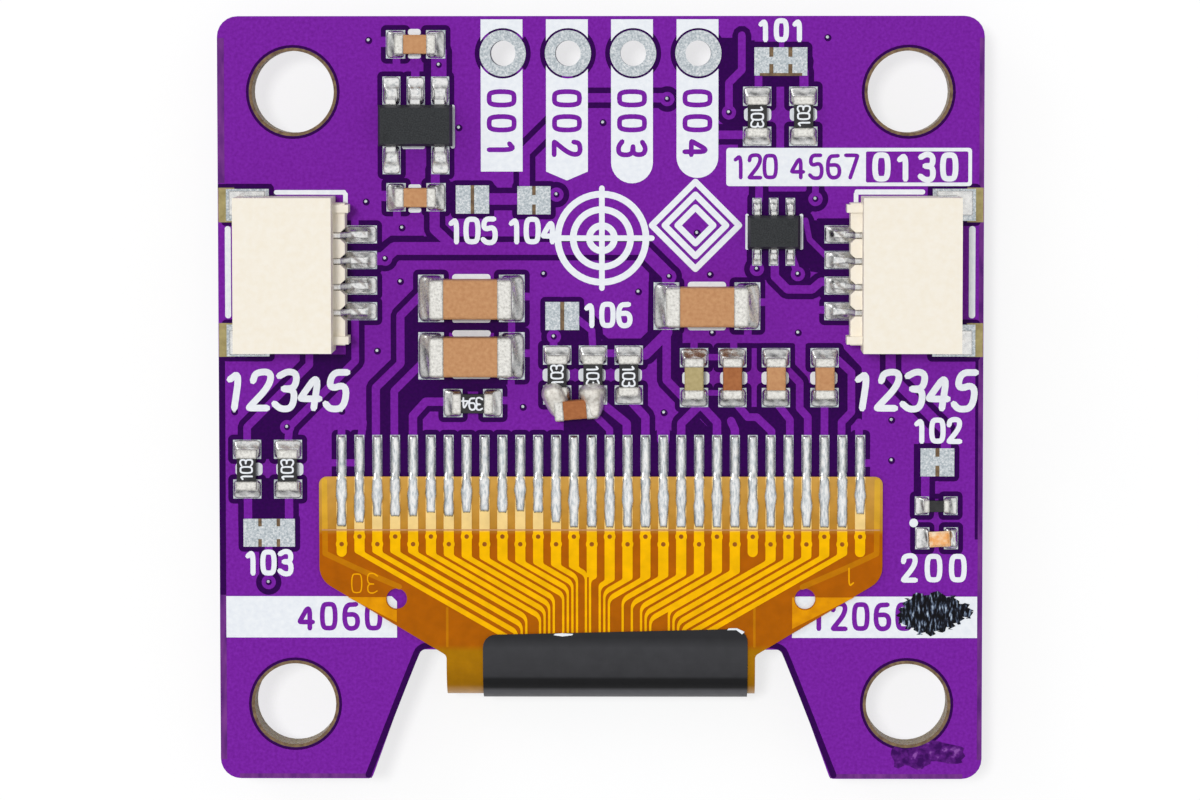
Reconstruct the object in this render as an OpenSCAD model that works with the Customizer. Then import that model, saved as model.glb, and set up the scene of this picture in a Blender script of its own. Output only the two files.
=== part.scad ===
// Small display module: a square circuit board with a flat glass panel taped
// behind it, joined by a folded ribbon, and two side-entry sockets.
// It lies on its panel: +Z is the component side, +Y the header edge.

/* [Board] */
// Side of the square board
board_side = 29.9; // [29:0.1:36]
// Board thickness
board_t = 1.6; // [0.8:0.1:2]
// Thickness of a tinned copper pad
pad_t = 0.04; // [0.03:0.01:0.06]
// Corner radius of the board
board_corner_r = 0.8; // [0.3:0.1:1]

/* [Mounting holes] */
// Distance from the board's edges to a hole's centre
hole_inset = 2.95; // [2.3:0.05:3.2]
// Diameter of a mounting hole
hole_d = 3.2; // [2.6:0.1:3.3]

/* [Header] */
// Pitch of the header holes
header_pitch = 2.54; // [2.2:0.01:2.6]
// Number of header holes
header_count = 4; // [2:1:6]
// Bore of a plated header hole
header_bore_d = 1; // [0.8:0.05:1.1]
// Diameter of a header pad
header_pad_d = 1.8; // [1.5:0.1:2]
// Distance from the top edge to the header row
header_inset = 1.45; // [1.2:0.05:1.6]

/* [Ribbon notch] */
// Width of the notch at its closed end
notch_w = 14.2; // [13.4:0.1:14.6]
// Width of the notch at the board's edge
notch_mouth_w = 18; // [16:0.1:18.4]
// Distance from the notch's closed end to the outside of the ribbon's fold
notch_room = 2; // [1.7:0.05:2.2]

/* [Panel] */
// Width of the glass
glass_w = 26.7; // [25:0.1:27]
// Height of the front glass
glass_h = 19.26; // [18.8:0.02:19.4]
// Thickness of the front glass
glass_t = 0.55; // [0.4:0.05:0.7]
// Height of the ledge that the rear cover glass leaves bare
ledge_h = 3.86; // [3.6:0.02:4.2]
// Thickness of the rear cover glass
cover_t = 0.7; // [0.4:0.05:0.8]
// Thickness of the polarizer
polarizer_t = 0.2; // [0.1:0.05:0.3]
// Thickness of the foam tape behind the glass
foam_t = 0.3; // [0.2:0.05:0.5]
// How far the lower glass edge lies from the board's middle
glass_drop = 9.9; // [9.8:0.05:9.95]

/* [Ribbon] */
// Width of the soldered end
ribbon_w = 22.06; // [21.6:0.02:22.4]
// Width of the neck that folds round the board
neck_w = 12.1; // [11.6:0.1:12.6]
// Thickness of the film
film_t = 0.12; // [0.08:0.01:0.15]
// Thickness of the copper on the film
foil_t = 0.03; // [0.02:0.005:0.04]
// Pitch of the ribbon's fingers
finger_pitch = 0.7; // [0.68:0.01:0.72]
// Width of a finger
finger_w = 0.4; // [0.3:0.02:0.44]
// Thickness of the black tape over the fold
shade_t = 0.1; // [0.05:0.01:0.15]
// How far the fold reaches from the board's middle
fold_reach = 11.85; // [11.8:0.05:12.3]

/* [Sockets] */
// Width of a socket
socket_w = 6; // [5.8:0.1:6.4]
// Height of a socket above the board
socket_h = 2.95; // [2.6:0.05:3.2]
// Depth of the tall part of a socket
socket_depth = 3.8; // [3.4:0.1:4]
// Depth of the low scalloped step behind it
step_depth = 0.45; // [0.4:0.05:0.5]
// Height of the low step
step_h = 1.5; // [1.45:0.05:1.8]
// Wall beside the socket's mouth
socket_wall = 0.5; // [0.35:0.05:0.6]
// Distance from the board's left edge to the left socket's mouth
left_inset = 0.8; // [0.65:0.05:0.95]
// Distance from the board's right edge to the right socket's mouth
right_inset = 1; // [0.65:0.05:1.05]
// Pitch of the contacts
contact_pitch = 1; // [0.95:0.01:1.02]
// Width of a contact
contact_w = 0.22; // [0.2:0.01:0.3]

/* [Chips] */
// Length and width of the regulator's body
regulator_size = [2.9, 1.6];
// Height of the regulator's body
regulator_h = 1.05; // [0.9:0.05:1.2]
// Length and width of the level shifter's body
shifter_size = [2.05, 1.3];
// Height of the level shifter's body
shifter_h = 0.9; // [0.8:0.05:1]
// Gap between a chip's body and the board
chip_gap = 0.1; // [0.05:0.01:0.15]
// Thickness of a chip's leads
lead_t = 0.12; // [0.1:0.01:0.15]

/* [Passives] */
// Length, width and height of a small chip part
small_chip = [1.6, 0.8, 0.5];
// Height of a small capacitor
small_cap_h = 0.8; // [0.5:0.05:0.9]
// Length, width and height of a large capacitor
large_chip = [3.2, 1.6, 1.3];
// Length, width and height of the smallest resistor
tiny_chip = [1, 0.5, 0.35];
// Thickness of the metal that wraps a chip part's ends
plating_t = 0.03; // [0.02:0.005:0.04]

/* [Hidden] */
$fn = 48;
half = board_side / 2;

// Heights of the layers, from the panel's face up
z_glass = polarizer_t;
z_ledge = z_glass + glass_t;
z_cover = z_ledge + cover_t;
z_board = z_cover + foam_t;
z_top = z_board + board_t;
z_pad = z_top + pad_t;

// The fold: the film's lower run lies on the glass, its upper run on the pads
film_low = z_ledge + foil_t;
film_high = z_pad;
fold_z = (film_low + film_high + film_t) / 2;
film_r = (film_high + film_t - film_low) / 2;
fold_y = shade_t + foil_t + film_r - fold_reach;
z_foil = film_high + film_t;

// Notch: its sides bend part of the way out, below the closed end
notch_top = notch_room - fold_reach;
knee_share = 0.45;
knee_drop = 2.2;
knee_r = 2;

// Panel
glass_r = 0.3;
glass_top = glass_h - glass_drop;
cover_h = glass_h - ledge_h;
polarizer_size = [24.4, 13.6];
polarizer_gap = 0.9;
foam_size = [22, 12];
driver_size = [10.8, 0.9, 0.35];
driver_gap = 0.45;
bond_depth = 1.6;

// Ribbon
shoulder_y = -3.03;
shoulder_drop = 4.05;
shoulder_rise = 0.6;
locator_x = 8;
locator_y = -7.83;
locator_d = 0.8;
finger_count = 30;
pad_start = -1.4;
pad_end = -4.9;
ribbon_pad_w = 0.38;
coat_w = 0.34;
coat_h = 0.05;
coat_end = -4.5;
// Fingers that stop short, and their end
spare_fingers = [0, 23, 29];
spare_end = -5.98;
via_rows = [-5.68, -5.38];
via_d = 0.46;
finger_bend_r = 0.12;
land_bend_r = [0.45, 0.3];
land_w = 0.09;
land_pitch = 0.18;
slope = tan(30);
// Groups of fingers that run into the neck: first finger, how many, where
// the first one lands across the neck, where it bends, step between bends
fan_groups = [
    [1, 4, -3.46, -6, 0],
    [5, 4, -2.38, -6.06, -0.06],
    [9, 4, -1.47, -6.3, -0.07],
    [13, 1, -0.58, -6.58, 0],
    [14, 1, -0.42, -7, 0],
    [15, 3, -0.04, -7.1, 0.05],
    [18, 1, 0.86, -6.95, 0],
    [19, 1, 1.22, -6.9, 0],
    [20, 3, 1.58, -6.84, 0.06],
    [22, 1, 2.67, -6.8, 0],
    [24, 5, 2.85, -6.33, 0.06]
];
shade_x = [-4.62, 5.75];
shade_y = [-9.25, -9];
shade_r = 0.5;
shade_tail = -10;
barrel_t = 0.018;

// Sockets, in a frame at the middle of the mouth, +X out of it
left_mouth_x = half - left_inset;
right_mouth_x = half - right_inset;
socket_y = 4.95;
contact_count = 4;
contact_t = 0.2;
contact_z = 1.25;
contact_tip = 0.7;
mouth_z = [0.45, 2.4];
mouth_depth = 3.1;
mouth_lip = 0.12;
tail_x = half - 5.85;
slot_mouth = 0.3;
slot_taper = 0.18;
post_size = [0.65, 0.3, 1.3];
post_z = 0.5;
anchor_t = 0.2;
anchor_x = [half - 1.85, half - 1.05];
anchor_foot = 0.2;
anchor_nose = half - 0.45;
anchor_inset = 0.75;
anchor_h = 1.7;
contact_pad = [1.25, 0.7];
contact_pad_x = half - 5.59;
anchor_pad = [1.68, 1.25];
anchor_pad_x = half - 1.16;
anchor_pad_y = 2.65;

// Chips: middle, pitch of the leads, distance between the leads' ends, feet
// as place along the chip and side, and pads as width, length and toe
regulator_at = [-7.2, 10.7];
regulator_pitch = 0.95;
regulator_span = 2.8;
regulator_lead_w = 0.4;
regulator_feet = [[-1, 1], [0, 1], [1, 1], [-1, -1], [1, -1]];
regulator_pad = [0.7, 1.1, 0.5];
shifter_at = [half - 8.2, 6.55];
shifter_pitch = 0.65;
shifter_span = 2.1;
shifter_lead_w = 0.22;
shifter_feet = [[-1, 1], [0, 1], [1, 1], [-1, -1], [0, -1], [1, -1]];
shifter_pad = [0.36, 0.65, 0.27];
draft = 0.1;
dimple_r = 0.12;
dimple_depth = 0.04;

// Passives: middle and turn of each
resistors = [
    [-1.7, 0.95, 90], [-0.3, 0.95, 90], [1.1, 0.95, 90],
    [6.1, 11.05, 90], [7.9, 11.05, 90],
    [-13.85, -2.75, 90], [-12.25, -2.75, 90], [-5, -0.15, 0]
];
capacitors = [
    [-7.2, 13.85, 0], [-7.2, 7.9, 0], [3.65, 0.85, 90],
    [5.15, 0.85, 90], [6.85, 0.85, 90], [8.75, 0.85, 90]
];
large_capacitors = [[-5.05, 3.95, 0], [-5.05, 1.7, 0], [4.15, 3.65, 0]];
// A capacitor soldered by hand across the lower ends of the first two resistors
added_at = [-1, -0.37, 5];
bridged = [0, 1];
led_resistor_at = [13.13, -4.17, 0];
led_at = [13.35, -5.45, 3];
small_band = 0.35;
large_band = 0.55;
tiny_band = 0.22;
resistor_r = 0.04;
capacitor_r = 0.1;
large_r = 0.16;
fillet_share = 0.6;
added_lift = 0.06;
// Solder lumps at its ends: places and radii of the balls that span each
left_lump = [[-1.8, 0.3, 0.3, 0.32], [-1.85, -0.05, 0.3, 0.36], [-1.62, -0.42, 0.2, 0.3]];
right_lump = [[-0.22, 0.3, 0.3, 0.34], [-0.2, -0.05, 0.35, 0.38], [-0.3, -0.45, 0.2, 0.26]];
// Length and width of a pad, and how far its middle lies from the part's
small_pad = [0.75, 1.1, 0.78];
large_pad = [1, 1.85, 1.58];
tiny_pad = [0.55, 0.72, 0.56];
led_pad = [0.55, 0.86, 0.56];
led_pads_at = [13.15, -5.45, 0];
led_base_size = [1, 0.6, 0.14];
led_lens_size = [0.8, 0.6];
led_lens_h = 0.28;
led_lens_shift = -0.1;
led_band = 0.12;

// Jumper pads: middle, turn, how many, pitch
jumpers = [
    [-5, 7.81, 0, 2, 0.72], [-2.6, 7.78, 0, 2, 0.72], [7.02, 13.18, 0, 3, 0.74],
    [-1.5, 3.26, 0, 2, 0.74], [-13, -5.25, 0, 3, 0.72], [13.17, -2.47, 0, 2, 0.74]
];
jumper_pad = [0.58, 1.1];

// ---- Geometry helpers ----

function unit(v) = v / norm(v);

// Points of the arc that rounds corner p between a and b, its radius no more
// than the shorter side allows
function corner_arc(a, p, b, radius, steps = 6) =
    let (
        u = unit(a - p),
        v = unit(b - p),
        spread = acos(u * v) / 2,
        r = min(radius, 0.45 * min(norm(a - p), norm(b - p)) * tan(spread)),
        c = p + unit(u + v) * r / sin(spread),
        from = p + u * r / tan(spread) - c,
        to = p + v * r / tan(spread) - c,
        start = atan2(from[1], from[0]),
        turn = (atan2(to[1], to[0]) - start + 540) % 360 - 180
    )
    [for (i = [0:steps]) c + r * [cos(start + turn * i / steps), sin(start + turn * i / steps)]];

// Outline through corners [x, y, radius]
function rounded(corners) =
    let (n = len(corners), at = [for (c = corners) [c[0], c[1]]])
    [for (i = [0:n - 1]) each corners[i][2] == 0
        ? [at[i]]
        : corner_arc(at[(i + n - 1) % n], at[i], at[(i + 1) % n], corners[i][2])];

function mirrored(corners) =
    [for (i = [len(corners) - 1:-1:0]) [-corners[i][0], corners[i][1], corners[i][2]]];

// Left edge and right edge of a strip of thickness t along a path
function strip_side(path, t) =
    [for (i = [0:len(path) - 1])
        let (
            d0 = unit(i == 0 ? path[1] - path[0] : path[i] - path[i - 1]),
            d1 = unit(i == len(path) - 1 ? path[i] - path[i - 1] : path[i + 1] - path[i]),
            n = unit([-d0[1] - d1[1], d0[0] + d1[0]])
        )
        path[i] + n * t / 2 / (n * [-d0[1], d0[0]])];

function strip(path, t) = concat(
    strip_side(path, t),
    [for (i = [len(path) - 1:-1:0]) strip_side(path, -t)[i]]
);

// Solid between two heights
module slab(z, t) translate([0, 0, z]) linear_extrude(t) children();

// XZ profile pulled along Y over width w, centred
module pulled(w, points)
    translate([0, w / 2, 0]) rotate([90, 0, 0]) linear_extrude(w) polygon(points);

module box(size, z = 0) translate([-size[0] / 2, -size[1] / 2, z]) cube(size);

module place(at) translate([at[0], at[1], 0]) rotate([0, 0, at[2]]) children();

module rounded_square(size, r) {
    square([size[0] - 2 * r, size[1]], center = true);
    square([size[0], size[1] - 2 * r], center = true);
    for (x = [-1, 1], y = [-1, 1])
        translate([x * (size[0] / 2 - r), y * (size[1] / 2 - r)]) circle(r);
}

// Block with rounded edges along its length and rounded ends
module soft_block(size, r) intersection() {
    translate([-size[0] / 2, 0, size[2] / 2]) rotate([90, 0, 90]) linear_extrude(size[0])
        rounded_square([size[1], size[2]], r);
    linear_extrude(size[2]) rounded_square([size[0], size[1]], r);
}

// Band of the fold between two radii, from x0 to x1
module fold_band(x0, x1, r, t)
    translate([0, fold_y, fold_z]) rotate([180, -90, 0]) rotate_extrude(angle = 180)
        translate([r, x0]) square([t, x1 - x0]);

// ---- Board ----

module board_outline() {
    a = notch_w / 2;
    b = notch_mouth_w / 2;
    left = [[-half, half, board_corner_r], [-half, -half, board_corner_r],
        [-b, -half, 0.2],
        [-a - knee_share * (b - a), notch_top - knee_drop, knee_r], [-a, notch_top, 0.3]];
    polygon(rounded(concat(left, mirrored(left))));
}

module at_holes() for (x = [-1, 1], y = [-1, 1])
    translate([x, y] * (half - hole_inset)) children();

module at_header()
    for (i = [0:header_count - 1])
        translate([(i - (header_count - 1) / 2) * header_pitch, half - header_inset]) children();

module circuit_board() color("#6a2090") slab(z_board, board_t) difference() {
    board_outline();
    at_holes() circle(d = hole_d);
    at_header() circle(d = header_bore_d + 2 * barrel_t);
}

module header_plating() color("#ccd0d4") at_header() {
    difference() {
        union() {
            translate([0, 0, z_top]) cylinder(d = header_pad_d, h = pad_t);
            translate([0, 0, z_board]) cylinder(d = header_bore_d + 2 * barrel_t, h = board_t);
            translate([0, 0, z_board - pad_t]) cylinder(d = header_pad_d, h = pad_t);
        }
        translate([0, 0, z_board - 1]) cylinder(d = header_bore_d, h = board_t + 2);
    }
}

module pad_pair(at, pad)
    place(at) for (s = [-1, 1]) translate([s * pad[2], 0]) square([pad[0], pad[1]], center = true);

module chip_pads(at, pitch, span, pad, feet)
    translate(at) for (f = feet)
        translate([f[0] * pitch, f[1] * (span / 2 + pad[2] - pad[1] / 2)])
            square([pad[0], pad[1]], center = true);

function finger_x(i) = (i - (finger_count - 1) / 2) * finger_pitch;

module tinned_pads() color("#c8ccd0") slab(z_top, pad_t) {
    for (r = resistors) pad_pair(r, small_pad);
    for (c = capacitors) pad_pair(c, small_pad);
    for (c = large_capacitors) pad_pair(c, large_pad);
    pad_pair(led_resistor_at, tiny_pad);
    pad_pair(led_pads_at, led_pad);
    chip_pads(regulator_at, regulator_pitch, regulator_span, regulator_pad, regulator_feet);
    chip_pads(shifter_at, shifter_pitch, shifter_span, shifter_pad, shifter_feet);
    for (j = jumpers) place(j) for (i = [0:j[3] - 1])
        translate([(i - (j[3] - 1) / 2) * j[4], 0]) square(jumper_pad, center = true);
    for (i = [0:finger_count - 1]) translate([finger_x(i) - ribbon_pad_w / 2, pad_end])
        square([ribbon_pad_w, pad_start - pad_end]);
    for (s = [-1, 1]) {
        for (i = [0:contact_count - 1]) translate([s * contact_pad_x, contact_y(i)])
            square(contact_pad, center = true);
        for (t = [-1, 1]) translate([s * anchor_pad_x, socket_y + t * anchor_pad_y])
            square(anchor_pad, center = true);
    }
}

// ---- Panel ----

module plate(x, y0, y1, r) polygon(rounded([[-x, y0, r], [x, y0, r], [x, y1, r], [-x, y1, r]]));

module polarizer() color("#15171c") slab(0, polarizer_t)
    plate(polarizer_size[0] / 2, glass_top - polarizer_gap - polarizer_size[1],
        glass_top - polarizer_gap, glass_r);

module front_glass() color("#8fa3ad") slab(z_glass, glass_t)
    plate(glass_w / 2, -glass_drop, glass_top, glass_r);

module cover_glass() color("#9fb0b8") slab(z_ledge, cover_t)
    plate(glass_w / 2, glass_top - cover_h, glass_top, glass_r);

module display_driver() color("#3a3d44")
    translate([0, glass_top - cover_h - driver_gap - driver_size[1] / 2, 0])
        box(driver_size, z_ledge);

module foam_tape() color("#e8e6df")
    translate([0, glass_top - cover_h / 2, 0]) box([foam_size[0], foam_size[1], foam_t], z_cover);

// ---- Ribbon ----

module ribbon_film() color("#b8741a") {
    w = ribbon_w / 2;
    n = neck_w / 2;
    low = shoulder_y - shoulder_drop;
    left = [[-w, shoulder_y, 0.3], [-w, low, 0.9],
        [-n, low - shoulder_rise * (w - n), 0.7], [-n, fold_y, 0]];
    slab(film_high, film_t) difference() {
        polygon(rounded(concat(left, mirrored(left))));
        for (s = [-1, 1]) translate([s * locator_x, locator_y]) circle(d = locator_d);
    }
    fold_band(-n, n, film_r - film_t, film_t);
    translate([-n, fold_y, film_low]) cube([neck_w, bond_depth - glass_drop - fold_y, film_t]);
}

// One finger that narrows into the neck: both edges bend at the same height,
// so the slanted stretch keeps the finger's width across
module fan_trace(x, land, bend) {
    s = land > x ? 1 : -1;
    outer = [x + s * finger_w / 2, land + s * land_w / 2];
    inner = [x - s * finger_w / 2, land - s * land_w / 2];
    far_outer = bend - slope * (outer[1] - outer[0]) * s;
    far_inner = bend - slope * (inner[1] - inner[0]) * s;
    polygon(rounded([
        [outer[0], shoulder_y, 0], [outer[0], bend, finger_bend_r],
        [outer[1], far_outer, land_bend_r[0]], [outer[1], fold_y, 0],
        [inner[1], fold_y, 0], [inner[1], far_inner, land_bend_r[1]],
        [inner[0], bend, finger_bend_r], [inner[0], shoulder_y, 0]
    ]));
}

module via_ring(i) translate([finger_x(i), via_rows[i % 2]]) circle(d = via_d);

module ribbon_foil() color("#e0a018") {
    slab(z_foil, foil_t) {
        for (g = fan_groups, i = [0:g[1] - 1])
            fan_trace(finger_x(g[0] + i), g[2] + i * land_pitch, g[3] + i * g[4]);
        for (i = spare_fingers) translate([finger_x(i), 0]) {
            translate([-finger_w / 2, spare_end]) square([finger_w, shoulder_y - spare_end]);
            translate([0, spare_end]) circle(d = finger_w);
        }
        for (i = [0:finger_count - 1]) via_ring(i);
    }
    for (g = fan_groups, i = [0:g[1] - 1]) {
        x = g[2] + i * land_pitch - land_w / 2;
        fold_band(x, x + land_w, film_r, foil_t);
        translate([x, fold_y, film_low - foil_t])
            cube([land_w, bond_depth - glass_drop - fold_y, foil_t]);
    }
}

// Solder from each board pad up over the film's edge and along its finger
module ribbon_solder() color("#d4d8dc") for (i = [0:finger_count - 1]) {
    step = film_t + foil_t;
    translate([finger_x(i), 0, z_pad]) rotate([0, 0, 90]) pulled(coat_w, [
        [pad_start - 0.05, 0], [pad_start - 0.2, 0.09], [shoulder_y + 0.25, 0.13],
        [shoulder_y - 0.05, step + coat_h], [coat_end + 0.15, step + coat_h],
        [coat_end, step], [shoulder_y, step], [shoulder_y, 0]
    ]);
}

module shading_tape() color("#3c3c3e") {
    x0 = shade_x[0];
    x1 = shade_x[1];
    slab(z_foil + foil_t, shade_t) polygon(rounded([[x0, fold_y, 0],
        [x1, fold_y, 0], [x1, shade_y[1], shade_r], [x0, shade_y[0], shade_r]]));
    fold_band(x0, x1, film_r + foil_t, shade_t);
    translate([x0, fold_y, film_low - foil_t - shade_t])
        cube([x1 - x0, shade_tail - fold_y, shade_t]);
}

// ---- Sockets ----

function contact_y(i) = socket_y + (i - (contact_count - 1) / 2) * contact_pitch;

// Side of one anchor: a foot on its pad and a tab up the socket's wall
module anchor(mouth) {
    y = socket_w / 2;
    for (side = [0, 1]) mirror([0, side, 0]) translate([0, 0, z_pad]) {
        translate([anchor_x[0] - mouth, y - anchor_inset, 0])
            cube([anchor_nose - anchor_x[0], anchor_inset + anchor_foot, anchor_t]);
        translate([anchor_x[0] - mouth, y - anchor_t, anchor_t])
            cube([anchor_x[1] - anchor_x[0], anchor_t, anchor_h - anchor_t]);
    }
}

module socket_contacts(mouth) {
    rear = socket_depth + step_depth;
    foot = contact_t / 2;
    path = [[tail_x - mouth, foot], [-rear - 0.1, foot],
        [-rear + 0.25, contact_z], [-contact_tip, contact_z]];
    for (i = [0:contact_count - 1]) translate([0, contact_y(i) - socket_y, z_pad])
        pulled(contact_w, strip(path, contact_t));
}

module socket_housing(mouth) {
    w = socket_w / 2;
    rear = socket_depth + step_depth;
    slot = contact_w / 2 + 0.02;
    opening = socket_w - 2 * socket_wall;
    difference() {
        translate([0, 0, z_pad]) union() {
            translate([-socket_depth, -w, 0]) cube([socket_depth, socket_w, socket_h]);
            translate([-rear, -w + 0.25, 0]) cube([step_depth, socket_w - 0.5, step_h]);
            for (s = [-1, 1]) translate([-rear - 0.15, s * (w - 0.45) - post_size[1] / 2, post_z])
                cube(post_size);
        }
        // Mouth, with a wider lip
        translate([-mouth_depth, -opening / 2, z_pad + mouth_z[0]])
            cube([mouth_depth + 1, opening, mouth_z[1] - mouth_z[0]]);
        translate([-mouth_lip, -opening / 2 - mouth_lip, z_pad + mouth_z[0] - mouth_lip])
            cube([1, opening + 2 * mouth_lip, mouth_z[1] - mouth_z[0] + 2 * mouth_lip]);
        // Slot behind each contact, flared at the back
        for (i = [0:contact_count - 1]) translate([0, contact_y(i) - socket_y, z_pad - 1]) {
            linear_extrude(step_h + 2) polygon([
                [-rear - 0.1, -slot_mouth], [-rear, -slot_mouth], [-rear + slot_taper, -slot],
                [-socket_depth, -slot], [-socket_depth, slot], [-rear + slot_taper, slot],
                [-rear, slot_mouth], [-rear - 0.1, slot_mouth]
            ]);
        }
        socket_contacts(mouth);
        anchor(mouth);
    }
}

module left_side() mirror([1, 0, 0]) translate([left_mouth_x, socket_y, 0]) children();
module right_side() translate([right_mouth_x, socket_y, 0]) children();

module left_socket() color("#f3ead8") left_side() socket_housing(left_mouth_x);
module left_contacts() color("#cfd2d4") left_side() socket_contacts(left_mouth_x);
module left_anchors() color("#cfd2d4") left_side() anchor(left_mouth_x);
module right_socket() color("#f3ead8") right_side() socket_housing(right_mouth_x);
module right_contacts() color("#cfd2d4") right_side() socket_contacts(right_mouth_x);
module right_anchors() color("#cfd2d4") right_side() anchor(right_mouth_x);

// ---- Chips ----

// Side view of a moulded body: it tapers up and down from its parting band
function drafted(l, h) = [
    [-l + draft, 0], [-l, (h - lead_t) / 2], [-l, (h + lead_t) / 2], [-l + draft, h],
    [l - draft, h], [l, (h + lead_t) / 2], [l, (h - lead_t) / 2], [l - draft, 0]
];

module moulded(size, h) intersection() {
    pulled(size[1] + 1, drafted(size[0] / 2, h));
    rotate([0, 0, 90]) pulled(size[0] + 1, drafted(size[1] / 2, h));
}

module chip(at, size, h, corner) translate([at[0], at[1], z_pad + chip_gap]) difference() {
    moulded(size, h);
    translate([corner[0] * (size[0] / 2 - 0.35), corner[1] * (size[1] / 2 - 0.35), h - dimple_depth])
        cylinder(r = dimple_r, h = 1);
}

module gull_leads(at, size, h, pitch, span, lead_w, feet) {
    edge = size[1] / 2;
    reach = span / 2 - edge;
    mid = chip_gap + h / 2;
    path = [[edge, mid], [edge + 0.3 * reach, mid],
        [edge + 0.5 * reach, lead_t / 2], [edge + reach, lead_t / 2]];
    translate([at[0], at[1], z_pad]) for (f = feet)
        translate([f[0] * pitch, 0, 0]) rotate([0, 0, f[1] * 90])
            pulled(lead_w, strip(path, lead_t));
}

module regulator() color("#38393b") chip(regulator_at, regulator_size, regulator_h, [-1, -1]);

module regulator_leads() color("#cdd0d2") gull_leads(regulator_at, regulator_size, regulator_h,
    regulator_pitch, regulator_span, regulator_lead_w, regulator_feet);

module level_shifter() color("#38393b") chip(shifter_at, shifter_size, shifter_h, [1, 1]);

module level_shifter_leads() color("#cdd0d2") gull_leads(shifter_at, shifter_size, shifter_h,
    shifter_pitch, shifter_span, shifter_lead_w, shifter_feet);

// ---- Passives ----

module chip_core(at, size, r, lift = 0) {
    t = plating_t;
    place(at) translate([0, 0, z_pad + t + lift])
        soft_block([size[0] - 2 * t, size[1] - 2 * t, size[2] - 2 * t], r - t);
}

// Metal wrapped round both ends of a chip part
module chip_ends(at, size, band, r, lift = 0) difference() {
    place(at) translate([0, 0, z_pad + lift]) intersection() {
        soft_block(size, r);
        for (s = [-1, 1]) translate([s * (size[0] - band) / 2, 0, 0])
            box([band, size[1] + 1, size[2] + 1], -0.5);
    }
    chip_core(at, size, r, lift);
}

small_cap = [small_chip[0], small_chip[1], small_cap_h];

module resistor(i) color("#2c2c2c") chip_core(resistors[i], small_chip, resistor_r);
module led_resistor() color("#2c2c2c") chip_core(led_resistor_at, tiny_chip, resistor_r);
module capacitor(i) color("#c8925e") chip_core(capacitors[i], small_cap, capacitor_r);
module large_capacitor(i) color("#b98a5a") chip_core(large_capacitors[i], large_chip, large_r);
module added_capacitor() color("#b8743c") chip_core(added_at, small_cap, capacitor_r, added_lift);

module resistor_ends() color("#d4d6d8")
    for (r = resistors) chip_ends(r, small_chip, small_band, resistor_r);

module led_resistor_ends() color("#d4d6d8")
    chip_ends(led_resistor_at, tiny_chip, tiny_band, resistor_r);

module capacitor_ends() color("#d4d6d8")
    for (c = capacitors) chip_ends(c, small_cap, small_band, capacitor_r);

module large_capacitor_ends() color("#d4d6d8")
    for (c = large_capacitors) chip_ends(c, large_chip, large_band, large_r);

module added_capacitor_ends() color("#d4d6d8")
    chip_ends(added_at, small_cap, small_band, capacitor_r, added_lift);

module lump(balls) hull()
    for (b = balls) translate([b[0], b[1], z_pad + b[2]]) sphere(r = b[3], $fn = 20);

module added_solder() color("#dcdedf") difference() {
    union() {
        lump(left_lump);
        lump(right_lump);
    }
    translate([-half, -half, z_pad - 2]) cube([board_side, board_side, 2]);
    place(added_at) box([small_cap[0], small_cap[1], small_cap_h], z_pad + added_lift);
    for (i = bridged) place(resistors[i]) box(small_chip, z_pad);
}

module led_base() color("#e9e4d8") chip_core(led_at, led_base_size, plating_t + 0.01);
module led_ends() color("#d8c27a") chip_ends(led_at, led_base_size, led_band, plating_t + 0.01);
module led_lens() color("#f2c583") place(led_at)
    translate([led_lens_shift, 0, z_pad + led_base_size[2]]) moulded(led_lens_size, led_lens_h);

// ---- Solder ----

// Hollow fillet that climbs h from the pad against a part's end
module fillet(reach, h, w, steps = 5) pulled(w, concat([[0, 0]],
    [for (i = [0:steps]) [reach * (1 - sin(90 * i / steps)), h * (1 - cos(90 * i / steps))]]));

module end_fillets(at, size, pad, sides = [-1, 1]) place(at) for (s = sides)
    translate([s * size[0] / 2, 0, z_pad]) rotate([0, 0, s > 0 ? 0 : 180])
        fillet(pad[2] + pad[0] / 2 - size[0] / 2, fillet_share * size[2], size[1]);

module toe_fillets(at, pitch, span, pad, feet, w) translate([at[0], at[1], z_pad])
    for (f = feet) translate([f[0] * pitch, f[1] * span / 2, 0]) rotate([0, 0, f[1] * 90])
        fillet(pad[2], lead_t, w);

module contact_fillets(i) translate([tail_x, contact_y(i), z_pad]) {
    edge = contact_pad_x - contact_pad[0] / 2;
    rotate([0, 0, 180]) fillet(tail_x - edge, contact_t, contact_w);
    for (s = [-1, 1]) translate([0.25, s * contact_w / 2, 0]) rotate([0, 0, s * 90])
        fillet((contact_pad[1] - contact_w) / 2, contact_t, 0.5);
}

module joint_solder() color("#dadcde") {
    for (i = [0:len(resistors) - 1]) end_fillets(resistors[i], small_chip, small_pad,
        len(search(i, bridged)) > 0 ? [1] : [-1, 1]);
    for (c = capacitors) end_fillets(c, small_cap, small_pad);
    for (c = large_capacitors) end_fillets(c, large_chip, large_pad);
    end_fillets(led_resistor_at, tiny_chip, tiny_pad);
    toe_fillets(regulator_at, regulator_pitch, regulator_span, regulator_pad, regulator_feet,
        regulator_lead_w);
    toe_fillets(shifter_at, shifter_pitch, shifter_span, shifter_pad, shifter_feet,
        shifter_lead_w);
    for (i = [0:contact_count - 1], side = [0, 1]) mirror([side, 0, 0]) contact_fillets(i);
}

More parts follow.
